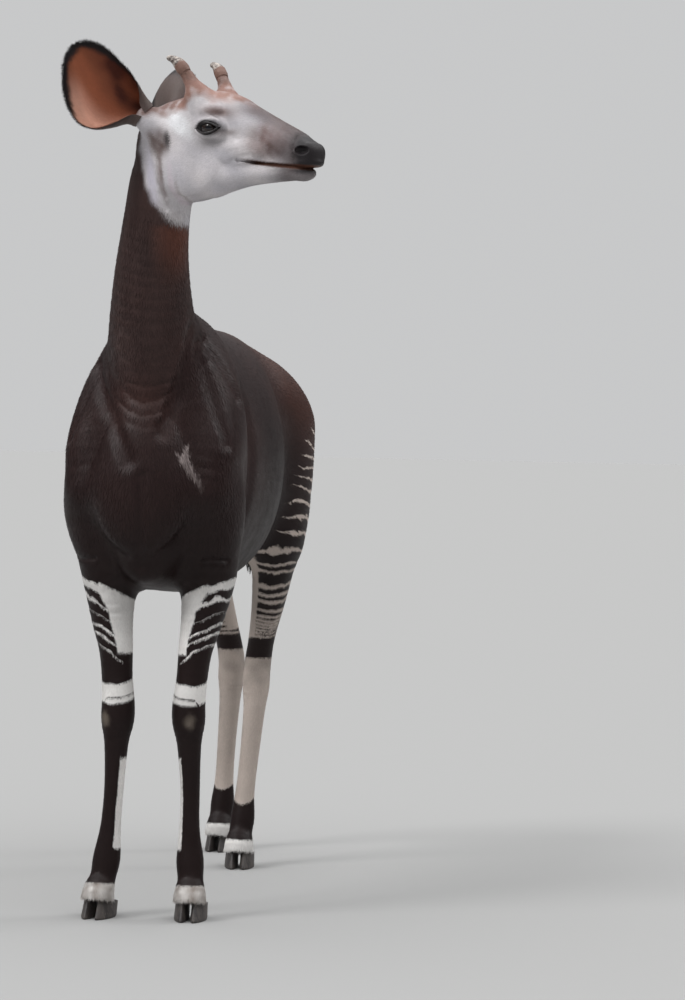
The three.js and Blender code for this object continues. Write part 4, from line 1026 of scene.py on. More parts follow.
# Lines of the scar: x, y, z and reach
SCAR_LINES = [
    [[111, -119, 1197, 5], [113, -135, 1163, 17], [127, -128, 1132, 11], [158, -120, 1096, 3]],
    [[92, -151, 1178, 3], [113, -135, 1163, 12]],
]
# Rubbed patches on the fore knees
KNEES = [(-101, -50, 507), (115, -35, 504)]
KNEE = np.array([0.20, 0.165, 0.135])

# Patches of the face: colour, place (f, up), reach, slant, strength
FACE_PATCHES = [
    (CHEEK_LIGHT, (150, 34), (44, 34), 0, 0.8),
    (CHEEK_LIGHT * 1.05, (232, -52), (66, 26), 0, 0.7),
    (CHEEK_LIGHT, (330, -124), (46, 16), 0, 0.8),
    (CHEEK * 0.75, (120, -120), (34, 60), 0.3, 0.45),
    (MUZZLE, (352, -58), (66, 48), 0, 0.9),
    (MUZZLE * 0.45, (366, -80), (34, 18), 0, 0.7),
    (STRIP, (-6, -160), (16, 110), 0.1, 0.95),
    (STRIP * [1, 0.9, 0.88], (62, -170), (11, 66), 0, 0.6),
    # painted shadow under the ear's root
    (EAR_SHADE, (30, -54), (34, 34), 0, 0.92),
    (EAR_SHADE * 1.2, (27, -130), (11, 64), 0, 0.75),
    (EAR_SHADE * 1.5, (80, -190), (7, 50), 0.2, 0.35),
    (BRIGHT, (94, -13), (42, 27), -0.45, 1.1),
    # painted shade: the darkest spot of the shadow under the ear
    (BLACK * 2, (56, -50), (8, 22), -0.2, 0.8),
]
# Where the dark crown ends on the side of the head: f, up
CROWN_EDGE = [(-40, 0), (30, 12), (84, 22), (117, 27), (140, 50), (165, 54), (190, 40), (249, 34),
              (297, 15), (326, 0), (450, -60)]
# Where the pale cheek begins: up, f
CHEEK_EDGE = [(-300, 60), (-240, 20), (-186, -12), (-137, -33), (-39, -43), (40, -40)]
# Lower edge of the dark bridge of the nose: f, up
BRIDGE_EDGE = [(200, 34), (450, -58)]


def mix(a, b, t):
    """From a to b by the share t of each point."""
    return a + (b - a) * t[:, None]


def waves(p, size, seed):
    """Slow uneven change over a form, from about -1 to 1."""
    draw = np.random.default_rng(seed)
    total = np.zeros(len(p))
    for _ in range(7):
        way = unit(draw.normal(size=3))
        length = size * draw.uniform(0.6, 1.6)
        total += np.sin(p @ way * (2 * math.pi / length) + draw.uniform(0, 6.3))
    return total / 3.5


def blob(f, up, at, size):
    """A soft spot on the side of the head, 1 in its middle."""
    return np.exp(-(((f - at[0]) / size[0]) ** 2) - ((up - at[1]) / size[1]) ** 2)


def body_colour(p):
    """The dark coat of trunk, neck and legs, with the scar; painted shade low down and on the flank."""
    colour = np.tile(DARK, (len(p), 1))
    rust = smooth_step(p[:, 1], 420, 900) * smooth_step(p[:, 2], 1080, 1360)
    rust *= 0.62 + 0.4 * waves(p, 420, 3)
    colour = mix(colour, RUST, np.clip(rust, 0, 1) * 0.5)
    throat = smooth_step(-p[:, 1], 60, 120) * blob(p[:, 0], p[:, 2], (5, 1300), (75, 80))
    colour = mix(colour, THROAT, throat * 0.1)
    nape = smooth_step(above_trunk(p), 0, 160)
    colour = mix(colour, NAPE, nape * (0.6 + 0.25 * waves(p * [1, 1, 0.25], 60, 22)))
    warm = 0.5 + 0.5 * waves(p, 260, 21)
    colour = mix(colour, RUST, np.clip(warm, 0, 1) * 0.07)
    # Painted shade: the coat darker low on the body, on the chest, belly and legs.
    under = 1 - smooth_step(p[:, 2], 860, 1260)
    colour = mix(colour, DARK * 0.45, under * 0.8)
    # Painted shade in the hollow of the flank, between the shoulder and the thigh.
    painted_flank_shade = smooth_step(p[:, 1], 240, 420) * (1 - smooth_step(p[:, 1], 760, 960))
    colour = mix(colour, DARK * 0.4, painted_flank_shade * (1 - smooth_step(p[:, 2], 1100, 1420)) * 0.7)
    scar = np.min([line_distance(p, line) for line in SCAR_LINES], axis=0)
    scar = 1 - smooth_step(scar + 5 * waves(p, 13, 33), -4, 3)
    streaks = 0.55 + 0.45 * np.clip(waves(p * [1, 1, 0.35], 9, 34), -1, 1)
    lower = 1 - 0.55 * smooth_step(-p[:, 2], -1160, -1105)
    return mix(colour, SCAR, scar * streaks * lower)


def head_colour(p, colour):
    """The same with the face laid over it, with painted shade under the ear and a painted highlight on
    the upper lid.
    """
    f, side, up = head_axes(p)
    a = np.abs(side)
    edge = np.interp(up, *zip(*CHEEK_EDGE))
    cheek = smooth_step(f - edge + 8 * waves(p, 60, 5), -10, 14)
    cheek *= smooth_step(up + 6 * waves(p, 70, 6), -262, -236)
    throat = smooth_step(f, -30, 40) * smooth_step(up, -420, -300) * (1 - smooth_step(up, -262, -236))
    colour = mix(colour, THROAT, throat * 0.8)
    face = mix(np.tile(CHEEK, (len(p), 1)), CHEEK_LIGHT, np.clip(0.5 + 0.5 * waves(p, 90, 7), 0, 1))
    uneven = 0.9 + 0.16 * waves(p, 26, 15)
    for patch, at, size, slant, strength in FACE_PATCHES:
        on = np.log(blob(f, up - slant * (f - at[0]), at, size))
        face = mix(face, patch, np.clip(np.exp(-on * on) * strength * uneven, 0, 1))
    crown_edge = np.interp(f, *zip(*CROWN_EDGE))
    crown = smooth_step(up - crown_edge + 6 * waves(p, 34, 8), -10, 12)
    crown_tone = mix(np.tile(CROWN_DARK, (len(p), 1)), CROWN, smooth_step(f, 30, 120))
    crown_tone = mix(crown_tone, CHEEK_LIGHT, np.clip(waves(p, 30, 13) - 0.1, 0, 1) * 0.5)
    face = mix(face, crown_tone, crown * 0.92)
    bridge = smooth_step(f, 215, 300) * smooth_step(up - np.interp(f, *zip(*BRIDGE_EDGE)), -16, 14)
    face = mix(face, BRIDGE, bridge * 0.9)
    muzzle = smooth_step(f - 0.25 * (up + 100), 330, 420)
    face = mix(face, BRIDGE * 0.62, muzzle * 0.9)
    nose = smooth_step(f, 404, 438) * (up > -140)
    face = mix(face, BLACK * 1.5, np.clip(nose, 0, 1))
    chin = smooth_step(f, 350, 420) * smooth_step(-up, 128, 150)
    face = mix(face, GREY * 0.55, chin * 0.9)
    brow = blob(f, up + 0.12 * (f - 210), (EYE["f"] + 22, EYE["up"] + 39), (40, 16))
    face = mix(face, BROW * 0.5, brow * 0.85)
    # Painted highlight along the fold of the upper lid.
    painted_lid_highlight = blob(f, up, (EYE["f"] + 4, EYE["up"] + 21), (26, 4.5))
    face = mix(face, CHEEK_LIGHT * 1.15, painted_lid_highlight * 0.85)
    ring = np.hypot((f - EYE["f"] - 5) / 46, (up - EYE["up"] - 1) / 25)
    face = mix(face, BLACK * 1.4, 1 - smooth_step(ring, 0.6, 0.96))
    under = blob(f, up, (EYE["f"] + 2, EYE["up"] - 31), (34, 12))
    face = mix(face, GREY * 0.32, under * 0.65)
    tear = blob(f, up, (EYE["f"] + 52, EYE["up"] - 10), (22, 8))
    face = mix(face, BROW * 0.4, tear * 0.5)
    slit = np.abs(up - mouth_height(f)) - 5
    face = mix(face, BROW * 0.4, (1 - smooth_step(slit, -2, 3)) * smooth_step(f, 262, 300))
    horn_up = smooth_step(up, 82, 104) * blob(f, a, (104, 68), (60, 34))
    face = mix(face, HORN_SKIN, np.clip(horn_up * 1.3, 0, 1) * (0.8 + 0.2 * waves(p, 16, 14)))
    return mix(colour, face, cheek * (p[:, 2] > 1640))


# Stripes: a place counted across them, the white share of their spacing, and solid white areas

# Height and thickness of each white line; a negative one is left dark
FORE_LINES = [(600, -20), (640, -16), (664, 5), (694, 5.5), (716, 6), (748, 1), (780, 7),
              (820, 32), (866, -34), (900, -20)]
HIND_LINES = [(600, -10), (640, -6), (655, 8), (667, 8), (679, 8), (691, 8.5), (703, 8.5), (715, 8),
              (728, 8), (744, 6), (766, 10), (786, 10), (809, 9), (843, 9), (866, 9), (908, 9),
              (951, 10), (990, 9), (1025, 8), (1060, 8), (1095, 8), (1128, 7.5), (1164, 7),
              (1198, 6), (1240, 5), (1268, -20)]


# Height, and how far the stripes there slope or how many degrees round the leg they begin
HIND_LEAN = [(600, 10), (760, 12), (880, 10), (960, -10), (1100, -34), (1250, -44)]
HIND_START = [(640, -130), (860, -120), (930, -60), (960, -6), (1050, 14), (1150, 34), (1210, 48),
              (1260, 70)]
STRIPE_REACH = 30.0  # millimetres from the edge of a solid area that are told apart


def line_place(height, lines):
    """Place counted in lines, and the white share there."""
    z = np.array([line[0] for line in lines], float)
    thick = np.array([line[1] for line in lines], float)
    gap = np.gradient(z)
    place = np.interp(height, z, np.arange(len(z)))
    return place, np.interp(height, z, thick / gap)


def fore_stripes(p):
    """Place, white share, solid white and thin line on the fore legs."""
    angle, _ = leg_axes(p, leg_of(p))
    turn = np.degrees(angle)
    z = p[:, 2]
    rise = 34 * np.sin(np.clip(angle + 0.2, -1.6, 1.6))
    place, share = line_place(z - rise, FORE_LINES)
    reach = smooth_step(turn, -50, -20) * (1 - smooth_step(turn, 150, 178))
    share = share * np.where(z - rise > 795, 1, reach)
    wide = np.interp(z, [690, 780, 830], [62, 74, 96])
    inner = np.min([(wide - np.abs(turn + 80)) * 0.55, 838 - z + rise, (z - 672) * 0.5], axis=0)
    rear = np.min([14 - np.abs(turn - 140) * 0.55, 830 - z, (z - 700) * 0.4], axis=0)
    sag = 12 * np.cos(angle - 0.2)
    ring = 24 - np.abs(z - 582 + sag) + 2 * waves(p, 40, 51)
    line = z - 572 + sag + 22 * smooth_step(turn, 24, 60)
    side_in = np.minimum(-(turn + 38) * 0.5, (turn + 180) * 0.5)
    side_out = (np.abs(turn) - 96) * 0.5
    cannon = np.maximum(side_in, side_out)
    cannon = np.min([cannon, (408 - z) * 0.35, (z - 176) * 0.5], axis=0)
    coronet = 88 + 4 * np.cos(angle) - z
    solid = np.max([inner, rear, ring, cannon, coronet], axis=0)
    return place, share, solid, np.clip(line, -STRIPE_REACH, STRIPE_REACH)


def hind_stripes(p):
    """Place, white share and solid white on the hind legs and rump."""
    angle, radius = leg_axes(p, leg_of(p))
    turn = np.degrees(angle)
    z = p[:, 2]
    lean = np.interp(z, *zip(*HIND_LEAN))
    bend = z - lean * (0.5 * (1 - np.cos(angle)) - 0.585) + 8 * waves(p, 120, 9)
    place, share = line_place(bend, HIND_LINES)
    start = np.interp(z, *zip(*HIND_START))
    reach = np.maximum(smooth_step(turn, start, start + 46), smooth_step(-turn, 118, 150))
    reach = np.where(z < 760, 1, reach)
    reach *= 0.35 + 0.65 * smooth_step(np.abs(p[:, 0]), 8, 40)
    on_belly = smooth_step(radius, 112, 150)
    on_belly = on_belly * (1 - smooth_step(turn, 0, 50)) * (1 - smooth_step(-turn, 95, 120))
    reach *= 1 - on_belly
    inside = np.minimum(-(turn + 20) * 0.5, (turn + 150) * 0.5)
    inside = np.min([inside, (930 - z) * 0.3, (z - 655) * 0.4], axis=0)
    cannon = np.minimum(592 - z, z - 186 + 8 * np.cos(2 * angle))
    coronet = 80 + 4 * np.cos(angle) - z
    solid = np.max([inside, cannon, coronet], axis=0)
    garter = np.minimum(z - 596, 640 - z)
    solid = np.where(garter > -4, np.minimum(solid, -garter), solid)
    return place, share * (reach * 0.95), solid


def stripe_values(p):
    """Place across the stripes, their white share, solid white and the thin dark line."""
    place = np.zeros(len(p))
    share = np.zeros(len(p))
    solid = np.full(len(p), -STRIPE_REACH)
    thin = np.full(len(p), STRIPE_REACH)
    fore = (p[:, 1] < FORE_END) & (p[:, 2] < 900)
    place[fore], share[fore], solid[fore], thin[fore] = fore_stripes(p[fore])
    hind = (p[:, 1] > 640) & (p[:, 2] < 1300) & (part_of(p) != TAIL)
    place[hind], share[hind], solid[hind] = hind_stripes(p[hind])
    return place, np.clip(share, -0.2, 1.2), np.clip(solid, -STRIPE_REACH, STRIPE_REACH), thin


def pale_colour(p):
    """The white of the legs, warmer behind and dusty at the fore feet."""
    colour = np.tile(WHITE, (len(p), 1))
    hind = smooth_step(p[:, 1], 500, 640)
    colour = mix(colour, CREAM, hind * smooth_step(p[:, 2], 100, 200))
    dusty = (1 - hind) * (1 - smooth_step(p[:, 2], 96, 150)) * (0.62 + 0.3 * waves(p, 22, 16))
    colour = mix(colour, CREAM * 0.55, np.clip(dusty, 0, 1))
    warm = hind * (1 - smooth_step(np.abs(p[:, 2] - 560), 20, 60)) * (0.5 + 0.5 * waves(p, 60, 12))
    return mix(colour, CREAM * 0.5, np.clip(warm, 0, 1) * 0.6)


def coat_values(p):
    place, share, solid, thin = stripe_values(p)
    dark = head_colour(p, body_colour(p))
    for at in KNEES:
        patch = np.linalg.norm((p - np.array(at)) / [17, 40, 23], axis=1) + 0.2 * waves(p, 18, 35)
        dark = mix(dark, KNEE, (1 - smooth_step(patch, 0.25, 1.15)) * 0.7)
    return coat_rows(dark, pale_colour(p), place, share, solid, thin)


def coat_rows(dark, pale, place, share, solid, thin):
    """What the coat's material needs at each point."""
    return {
        "dark_coat": dark,
        "pale_coat": pale,
        "stripe_place": place,
        "stripe_share": share,
        "solid_white": solid,
        "thin_line": thin,
    }


def along_surface(way, normals):
    """A way turned to lie along the surface."""
    return unit(way - normals * (way * normals).sum(1)[:, None])


def lie_of(p, normals):
    """The way the coat lies, along the surface."""
    f, _, up = head_axes(p)
    leg = 1 - smooth_step(p[:, 2], 780, 960)
    neck_on = smooth_step(above_trunk(p), -60, 60)
    head_on = smooth_step(past_nape(f, up), -40, 40) * (p[:, 2] > HEAD_FROM)
    way = np.tile([0.0, 1.0, -0.4], (len(p), 1))
    way = mix(way, np.array([0, 0.1, -1.0]), leg)
    chest = smooth_step(-p[:, 1], -60, 60) * (p[:, 2] < 1500)
    way = mix(way, np.array([0, 0.2, -1.0]), chest)
    way = mix(way, np.array([0, 0.35, -0.95]), neck_on)
    back = -HEAD_FORWARD + UP * -0.25
    way = mix(way, back, head_on)
    return along_surface(way, normals)


# Rows along an ear: share of its length, half width, shift across, bend in degrees
EAR_OUTLINE = [
    [0, 31, 0, 170], [0.08, 37, 3, 156], [0.16, 55, 16, 118], [0.26, 75, 27, 92],
    [0.38, 86, 30, 74], [0.5, 86, 28, 62], [0.64, 81, 20, 54], [0.78, 68, 10, 48],
    [0.9, 47, 0, 44], [0.97, 26, -4, 40], [1, 10, -5, 38],
]
EAR_ROWS = catmull_rows(EAR_OUTLINE, 4)
EAR_ACROSS = np.linspace(-1, 1, 27)
EAR_START = 22  # where the leaf begins, from the root
# Place of the ears in the unwrap, size of one face there, and steps to the outer face and next ear
EAR_ATLAS = {"u": 0.675, "v": 0.65, "wide": 0.145, "tall": 0.16, "outer": 0.16, "next": 0.175}
EAR_RED = np.array([0.250, 0.076, 0.036])
EAR_DEEP = np.array([0.036, 0.007, 0.005])
EAR_BACK = np.array([0.120, 0.090, 0.082])
EAR_TAN = np.array([0.56, 0.30, 0.22])


def ear_sheet(which):
    """The middle of an ear's leaf, its normals and half its thickness, in rows."""
    _, along, opening, across, root = ear_axes(which)
    t, wide, shift, bend = (EAR_ROWS[:, k][:, None] for k in range(4))
    bend = np.radians(bend)
    turn = EAR_ACROSS[None] * bend
    radius = wide / np.sin(np.minimum(bend, math.pi / 2))
    middle = (
        root
        + along * (EAR_START + t * (EAR["length"] - EAR_START))[..., None]
        + across * (shift + radius * np.sin(turn))[..., None]
        + opening * (radius * (1 - np.cos(turn)) - EAR_OUTLINE[0][1])[..., None]
    )
    normal = unit(np.cross(np.gradient(middle, axis=0), np.gradient(middle, axis=1)))
    if normal[len(EAR_ROWS) // 2, len(EAR_ACROSS) // 2] @ opening < 0:
        normal = -normal
    edge = 1 - np.maximum(np.abs(EAR_ACROSS)[None] ** 6, np.clip(t - 0.9, 0, 0.1) * 10)
    return middle, normal, 0.5 + 1.6 * np.sqrt(np.clip(edge, 0, 1)) * (1.6 - t)


def ear_faces(inside, normal):
    """Triangles of the leaf's inner face, outer face and rim."""
    count = inside.shape[0] * inside.shape[1]
    ids = np.arange(count).reshape(inside.shape[:2])
    a, b, c, d = ids[:-1, :-1], ids[:-1, 1:], ids[1:, 1:], ids[1:, :-1]
    front = np.stack([a, b, c, a, c, d], -1).reshape(-1, 3)
    rim = np.concatenate([ids[:, -1], ids[-1, ::-1][1:], ids[::-1, 0][1:]])
    i, j = rim[:-1], rim[1:]
    sides = np.stack([i, j, j + count, i, j + count, i + count], -1).reshape(-1, 3)
    way = np.cross(inside[1, 1] - inside[1, 0], inside[2, 1] - inside[1, 1])
    if way @ normal[1, 1] < 0:
        front = front[:, ::-1]
    else:
        sides = sides[:, ::-1]
    return np.concatenate([front, front[:, ::-1] + count, sides])


def ear_colours(t, c, upper, middle):
    """Colours of the inner and the outer face, with painted shade in the cup of the inner face."""
    to_side = (1 - np.abs(c)) * np.repeat(EAR_ROWS[:, 1], len(EAR_ACROSS))
    from_edge = np.minimum(to_side, (1 - t) * EAR["length"]) + 2 * waves(middle, 16, 61)
    wide_above = 9 + 13 * smooth_step(t, 0.4, 0.8)
    wide_below = 3 + 20 * smooth_step(t, 0.4, 0.75)
    rim_width = np.where(upper > 0, wide_above, wide_below)
    off_root = smooth_step(t, 0.16, 0.42)
    tan = smooth_step(-upper, 0.1, 0.7) * (1 - smooth_step(t, 0.6, 0.9))
    inner = mix(np.tile(EAR_RED, (len(t), 1)), EAR_TAN, tan)
    streaks = waves(np.stack([c * 60, t * 30, 0 * t], 1), 14, 63)
    inner = inner * (1 + 0.13 * np.clip(streaks, -1, 1))[:, None]
    # Partly dark hair toward the upper edge, partly painted shade in the hollow of the cup and in its
    # groove.
    deep = np.exp(-(((t - 0.46) / 0.34) ** 2) - ((upper - 0.85) / 0.62) ** 2)
    groove = np.exp(-(((upper - 0.15 - (t - 0.12) * 0.9) / 0.2) ** 2)) * (1 - smooth_step(t, 0.34, 0.6))
    shade = np.maximum(deep, groove) * (0.95 + 0.2 * waves(middle, 40, 62))
    inner = mix(inner, EAR_DEEP, np.clip(shade, 0, 0.9))
    # Painted shade where the cup opens at its root.
    inner = mix(inner, EAR_DEEP * 0.6, (1 - smooth_step(t, 0.02, 0.12)) * 0.9)
    inner = mix(inner, BLACK, (1 - smooth_step(from_edge / rim_width, 0.55, 1.25)) * off_root)
    back_rim = np.maximum(1 - smooth_step(from_edge / 26, 0.3, 1.1), smooth_step(t, 0.7, 0.92))
    return inner, mix(np.tile(EAR_BACK, (len(t), 1)), BLACK, back_rim * off_root)


def ear_piece(which):
    """The two faces of an ear and its rim, as one closed leaf."""
    _, along, _, across, _ = ear_axes(which)
    middle, normal, half = ear_sheet(which)
    sheets = [middle + normal * half[..., None], middle - normal * half[..., None]]
    normals = np.concatenate([normal.reshape(-1, 3), -normal.reshape(-1, 3)])
    points = np.concatenate([sheet.reshape(-1, 3) for sheet in sheets])
    piece = Piece(points, ear_faces(sheets[0], normal), normals)
    t = np.repeat(EAR_ROWS[:, 0], len(EAR_ACROSS))
    c = np.tile(EAR_ACROSS, len(EAR_ROWS))
    colours = ear_colours(t, c, c if across[2] > 0 else -c, middle.reshape(-1, 3))
    t, c = np.tile(t, 2), np.tile(c, 2)
    ones = np.ones(len(t))
    piece.values = coat_rows(
        np.concatenate(colours), np.tile(WHITE, (len(t), 1)), 0 * ones, -0.2 * ones,
        -STRIPE_REACH * ones, STRIPE_REACH * ones,
    )
    piece.lie = along_surface(np.tile(along, (len(t), 1)) + np.outer(c * 0.7, across), normals)
    away = np.outer(np.sign(c) * smooth_step(np.abs(c), 0.5, 1), across)
    piece.outward_lie = along_surface(away + np.outer(0.35 + smooth_step(t, 0.8, 1), along), normals)
    piece.rim = np.maximum(np.abs(c), smooth_step(t, 0.6, 1.02))
    u = EAR_ATLAS["u"] + EAR_ATLAS["outer"] * np.repeat([0, 1], len(t) // 2)
    u += EAR_ATLAS["wide"] * (0.5 + 0.5 * c)
    v = EAR_ATLAS["v"] + (0 if which == "left" else EAR_ATLAS["next"]) + EAR_ATLAS["tall"] * t
    piece.corner_uv = np.stack([u, v], 1)[piece.faces].reshape(-1, 2)
    return piece


def flesh_values(piece):
    """Colours, lie of the coat and unwrap of the flesh."""
    piece.values = coat_values(piece.points)
    piece.lie = lie_of(piece.points, piece.normals)
    piece.corner_uv = corner_unwrap(piece.points, piece.faces)


# Materials

def node(tree, kind, **settings):
    made = tree.nodes.new(kind)
    for key, value in settings.items():
        setattr(made, key, value)
    return made


def math_node(tree, operation, a, b=None):
    made = node(tree, "ShaderNodeMath", operation=operation)
    for socket, value in zip(made.inputs, (a, b)):
        if value is None:
            continue
        if isinstance(value, (int, float)):
            socket.default_value = value
        else:
            tree.links.new(value, socket)
    return made.outputs[0]


def attribute(tree, name, output="Fac"):
    return node(tree, "ShaderNodeAttribute", attribute_name=name).outputs[output]


def noise(tree, scale, detail=2.0, vector=None, roughness=0.5):
    made = node(tree, "ShaderNodeTexNoise")
    made.inputs["Scale"].default_value = scale
    made.inputs["Detail"].default_value = detail
    made.inputs["Roughness"].default_value = roughness
    if vector is None:
        vector = node(tree, "ShaderNodeTexCoord").outputs["Object"]
    tree.links.new(vector, made.inputs["Vector"])
    return made.outputs["Fac"]


def ramp_between(tree, value, low, high, to_low=0.0, to_high=1.0, smooth=True):
    made = node(tree, "ShaderNodeMapRange", interpolation_type="SMOOTHSTEP" if smooth else "LINEAR")
    made.inputs["From Min"].default_value = low
    made.inputs["From Max"].default_value = high
    made.inputs["To Min"].default_value = to_low
    made.inputs["To Max"].default_value = to_high
    tree.links.new(value, made.inputs["Value"])
    return made.outputs["Result"]


def mix_colour(tree, factor, a, b, blend="MIX"):
    made = node(tree, "ShaderNodeMix", data_type="RGBA", blend_type=blend)
    if isinstance(factor, (int, float)):
        made.inputs[0].default_value = factor
    else:
        tree.links.new(factor, made.inputs[0])
    for socket, value in ((made.inputs[6], a), (made.inputs[7], b)):
        if isinstance(value, (tuple, list)):
            socket.default_value = (*value, 1)
        else:
            tree.links.new(value, socket)
    return made.outputs[2]


def bump(tree, height, distance, strength=1.0, normal=None):
    made = node(tree, "ShaderNodeBump")
    made.inputs["Strength"].default_value = strength
    made.inputs["Distance"].default_value = distance
    tree.links.new(height, made.inputs["Height"])
    if normal is not None:
        tree.links.new(normal, made.inputs["Normal"])
    return made.outputs["Normal"]


def new_material(name):
    material = bpy.data.materials.new(name)
    material.use_nodes = True
    tree = material.node_tree
    return material, tree, tree.nodes["Principled BSDF"]


def times(tree, a, b):
    return math_node(tree, "MULTIPLY", a, b)


def plus(tree, a, b):
    return math_node(tree, "ADD", a, b)


def centred_noise(tree, scale, detail, vector):
    """Noise from -0.5 to 0.5."""
    return math_node(tree, "SUBTRACT", noise(tree, scale, detail, vector), 0.5)


def white_share(tree, root):
    """1 where the coat is white: on the stripes and the solid areas, not on the thin line."""
    wobble = centred_noise(tree, 16, 2, root)
    place = plus(tree, attribute(tree, "stripe_place"), times(tree, wobble, 0.9))
    place = plus(tree, place, times(tree, centred_noise(tree, 48, 2, root), 0.28))
    fraction = math_node(tree, "FRACT", plus(tree, place, 0.5))
    from_line = math_node(tree, "ABSOLUTE", math_node(tree, "SUBTRACT", fraction, 0.5))
    share = attribute(tree, "stripe_share")
    uneven = plus(tree, 1.0, times(tree, centred_noise(tree, 15, 3, root), 2.0))
    inside = math_node(tree, "SUBTRACT", times(tree, share, uneven), times(tree, from_line, 2.0))
    hairs = centred_noise(tree, 420, 1, root)
    stripe = ramp_between(tree, plus(tree, inside, times(tree, hairs, 0.12)), -0.05, 0.05)
    stripe = times(tree, stripe, ramp_between(tree, share, 0.01, 0.06))
    ragged = times(tree, centred_noise(tree, 60, 4, root), 6.0)
    ragged = plus(tree, ragged, times(tree, hairs, 3.0))
    solid = ramp_between(tree, plus(tree, attribute(tree, "solid_white"), ragged), -1.5, 1.5)
    gap = math_node(tree, "ABSOLUTE", attribute(tree, "thin_line"))
    gap = plus(tree, gap, times(tree, wobble, 3.0))
    return times(tree, math_node(tree, "MAXIMUM", stripe, solid), ramp_between(tree, gap, 0.9, 2.4))


def coat_material(name, tufts):
    """The dark and the pale coat in stripes, with uneven tone; tufts have no bumps."""
    material, tree, shader = new_material(name)
    root = attribute(tree, "root_at", "Vector")
    dark = attribute(tree, "dark_coat", "Color")
    pale = attribute(tree, "pale_coat", "Color")
    colour = mix_colour(tree, white_share(tree, root), dark, pale)
    tone = ramp_between(tree, noise(tree, 6, 3, root), 0.3, 0.7, 0.86, 1.16, smooth=False)
    strand = ramp_between(tree, noise(tree, 700, 2, root), 0.3, 0.7, 0.86, 1.14, smooth=False)
    grey = node(tree, "ShaderNodeCombineColor")
    both_tones = times(tree, tone, strand)
    for socket in grey.inputs:
        tree.links.new(both_tones, socket)
    colour = mix_colour(tree, 1.0, colour, grey.outputs[0], "MULTIPLY")
    tree.links.new(colour, shader.inputs["Base Color"])
    rough = ramp_between(tree, noise(tree, 30, 3, root), 0.3, 0.7, 0.40, 0.5, smooth=False)
    tree.links.new(rough, shader.inputs["Roughness"])
    shader.inputs["Specular IOR Level"].default_value = 0.19
    if not tufts:
        fine = bump(tree, noise(tree, 900, 3), 0.0006, 0.6)
        soft_bump = bump(tree, noise(tree, 70, 4), 0.0012, 0.35, fine)
        tree.links.new(soft_bump, shader.inputs["Normal"])
    return material


def add_values(obj, values, root):
    """The coat's values at each point, and where its root is."""
    mesh = obj.data
    for name, value in values.items():
        value = np.asarray(value, np.float32)
        if value.ndim == 2:
            made = mesh.attributes.new(name, "FLOAT_COLOR", "POINT")
            rgba = np.concatenate([value, np.ones((len(value), 1), np.float32)], 1)
            made.data.foreach_set("color", rgba.ravel())
        else:
            made = mesh.attributes.new(name, "FLOAT", "POINT")
            made.data.foreach_set("value", value)
    made = mesh.attributes.new("root_at", "FLOAT_VECTOR", "POINT")
    made.data.foreach_set("vector", np.asarray(root, np.float32).ravel())


def add_uv(obj, uv):
    layer = obj.data.uv_layers.new(name="OFBake")
    layer.data.foreach_set("uv", np.asarray(uv, np.float32).ravel())


def new_mesh(name, points, faces, material=None):
    """An object from points in the model's metres and faces of three or four corners."""
    mesh = bpy.data.meshes.new(name)
    points = np.asarray(points, np.float32)
    faces = np.asarray(faces, np.int32)
    mesh.vertices.add(len(points))
    mesh.vertices.foreach_set("co", points.ravel())
    mesh.loops.add(faces.size)
    mesh.loops.foreach_set("vertex_index", faces.ravel())
    mesh.polygons.add(len(faces))
    mesh.polygons.foreach_set("loop_start", np.arange(len(faces), dtype=np.int32) * faces.shape[1])
    mesh.update(calc_edges=True)
    mesh.polygons.foreach_set("use_smooth", np.ones(len(faces), bool))
    obj = bpy.data.objects.new(name, mesh)
    bpy.context.scene.collection.objects.link(obj)
    if material:
        mesh.materials.append(material)
    return obj


def joined(pieces):
    """Several pieces as one."""
    first = np.cumsum([0] + [len(piece.points) for piece in pieces])
    out = Piece(
        np.concatenate([piece.points for piece in pieces]),
        np.concatenate([piece.faces + n for piece, n in zip(pieces, first)]),
        np.concatenate([piece.normals for piece in pieces]),
    )
    out.values = {k: np.concatenate([piece.values[k] for piece in pieces]) for k in pieces[0].values}
    out.lie = np.concatenate([piece.lie for piece in pieces])
    out.corner_uv = np.concatenate([piece.corner_uv for piece in pieces])
    return out


body_piece = flesh_piece()
flesh_values(body_piece)
ear_pieces = [ear_piece(which) for which in EARS]
whole = joined([body_piece, *ear_pieces])
skin = new_mesh("skin", to_model(whole.points), whole.faces, coat_material("skin", False))
add_values(skin, whole.values, to_model(whole.points))
add_uv(skin, whole.corner_uv)
skin.data.normals_split_custom_set_from_vertices(whole.normals)
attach(skin, BODY)
# Words in the names of the solids that other pieces stand in for
OTHERS = ("eye", "ossicone_tip", "claw", "tail_tuft")
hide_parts(*[name for name in frame["nodes"] if not any(word in name for word in OTHERS)])


# Short coat: small flat tufts that lie along the skin

TRIES = 3.0  # points drawn for each place, of which one stays
ROOT_DEPTH = 0.6  # how far inside the skin a tuft begins
SWAY = 0.16
# Shape of one tuft in the unwrap, round the place of its root
TUFT_PATCH = np.array([[0, -0.0015], [-0.0012, 0], [0.0012, 0], [0, 0.0015]])


def tuft_spacing(p):
    """Millimetres between tufts."""
    leg = 1 - smooth_step(p[:, 2], 890, 980)
    head = smooth_step(p[:, 2], 1740, 1800)
    return 5.2 - 2.5 * leg - 2.3 * head


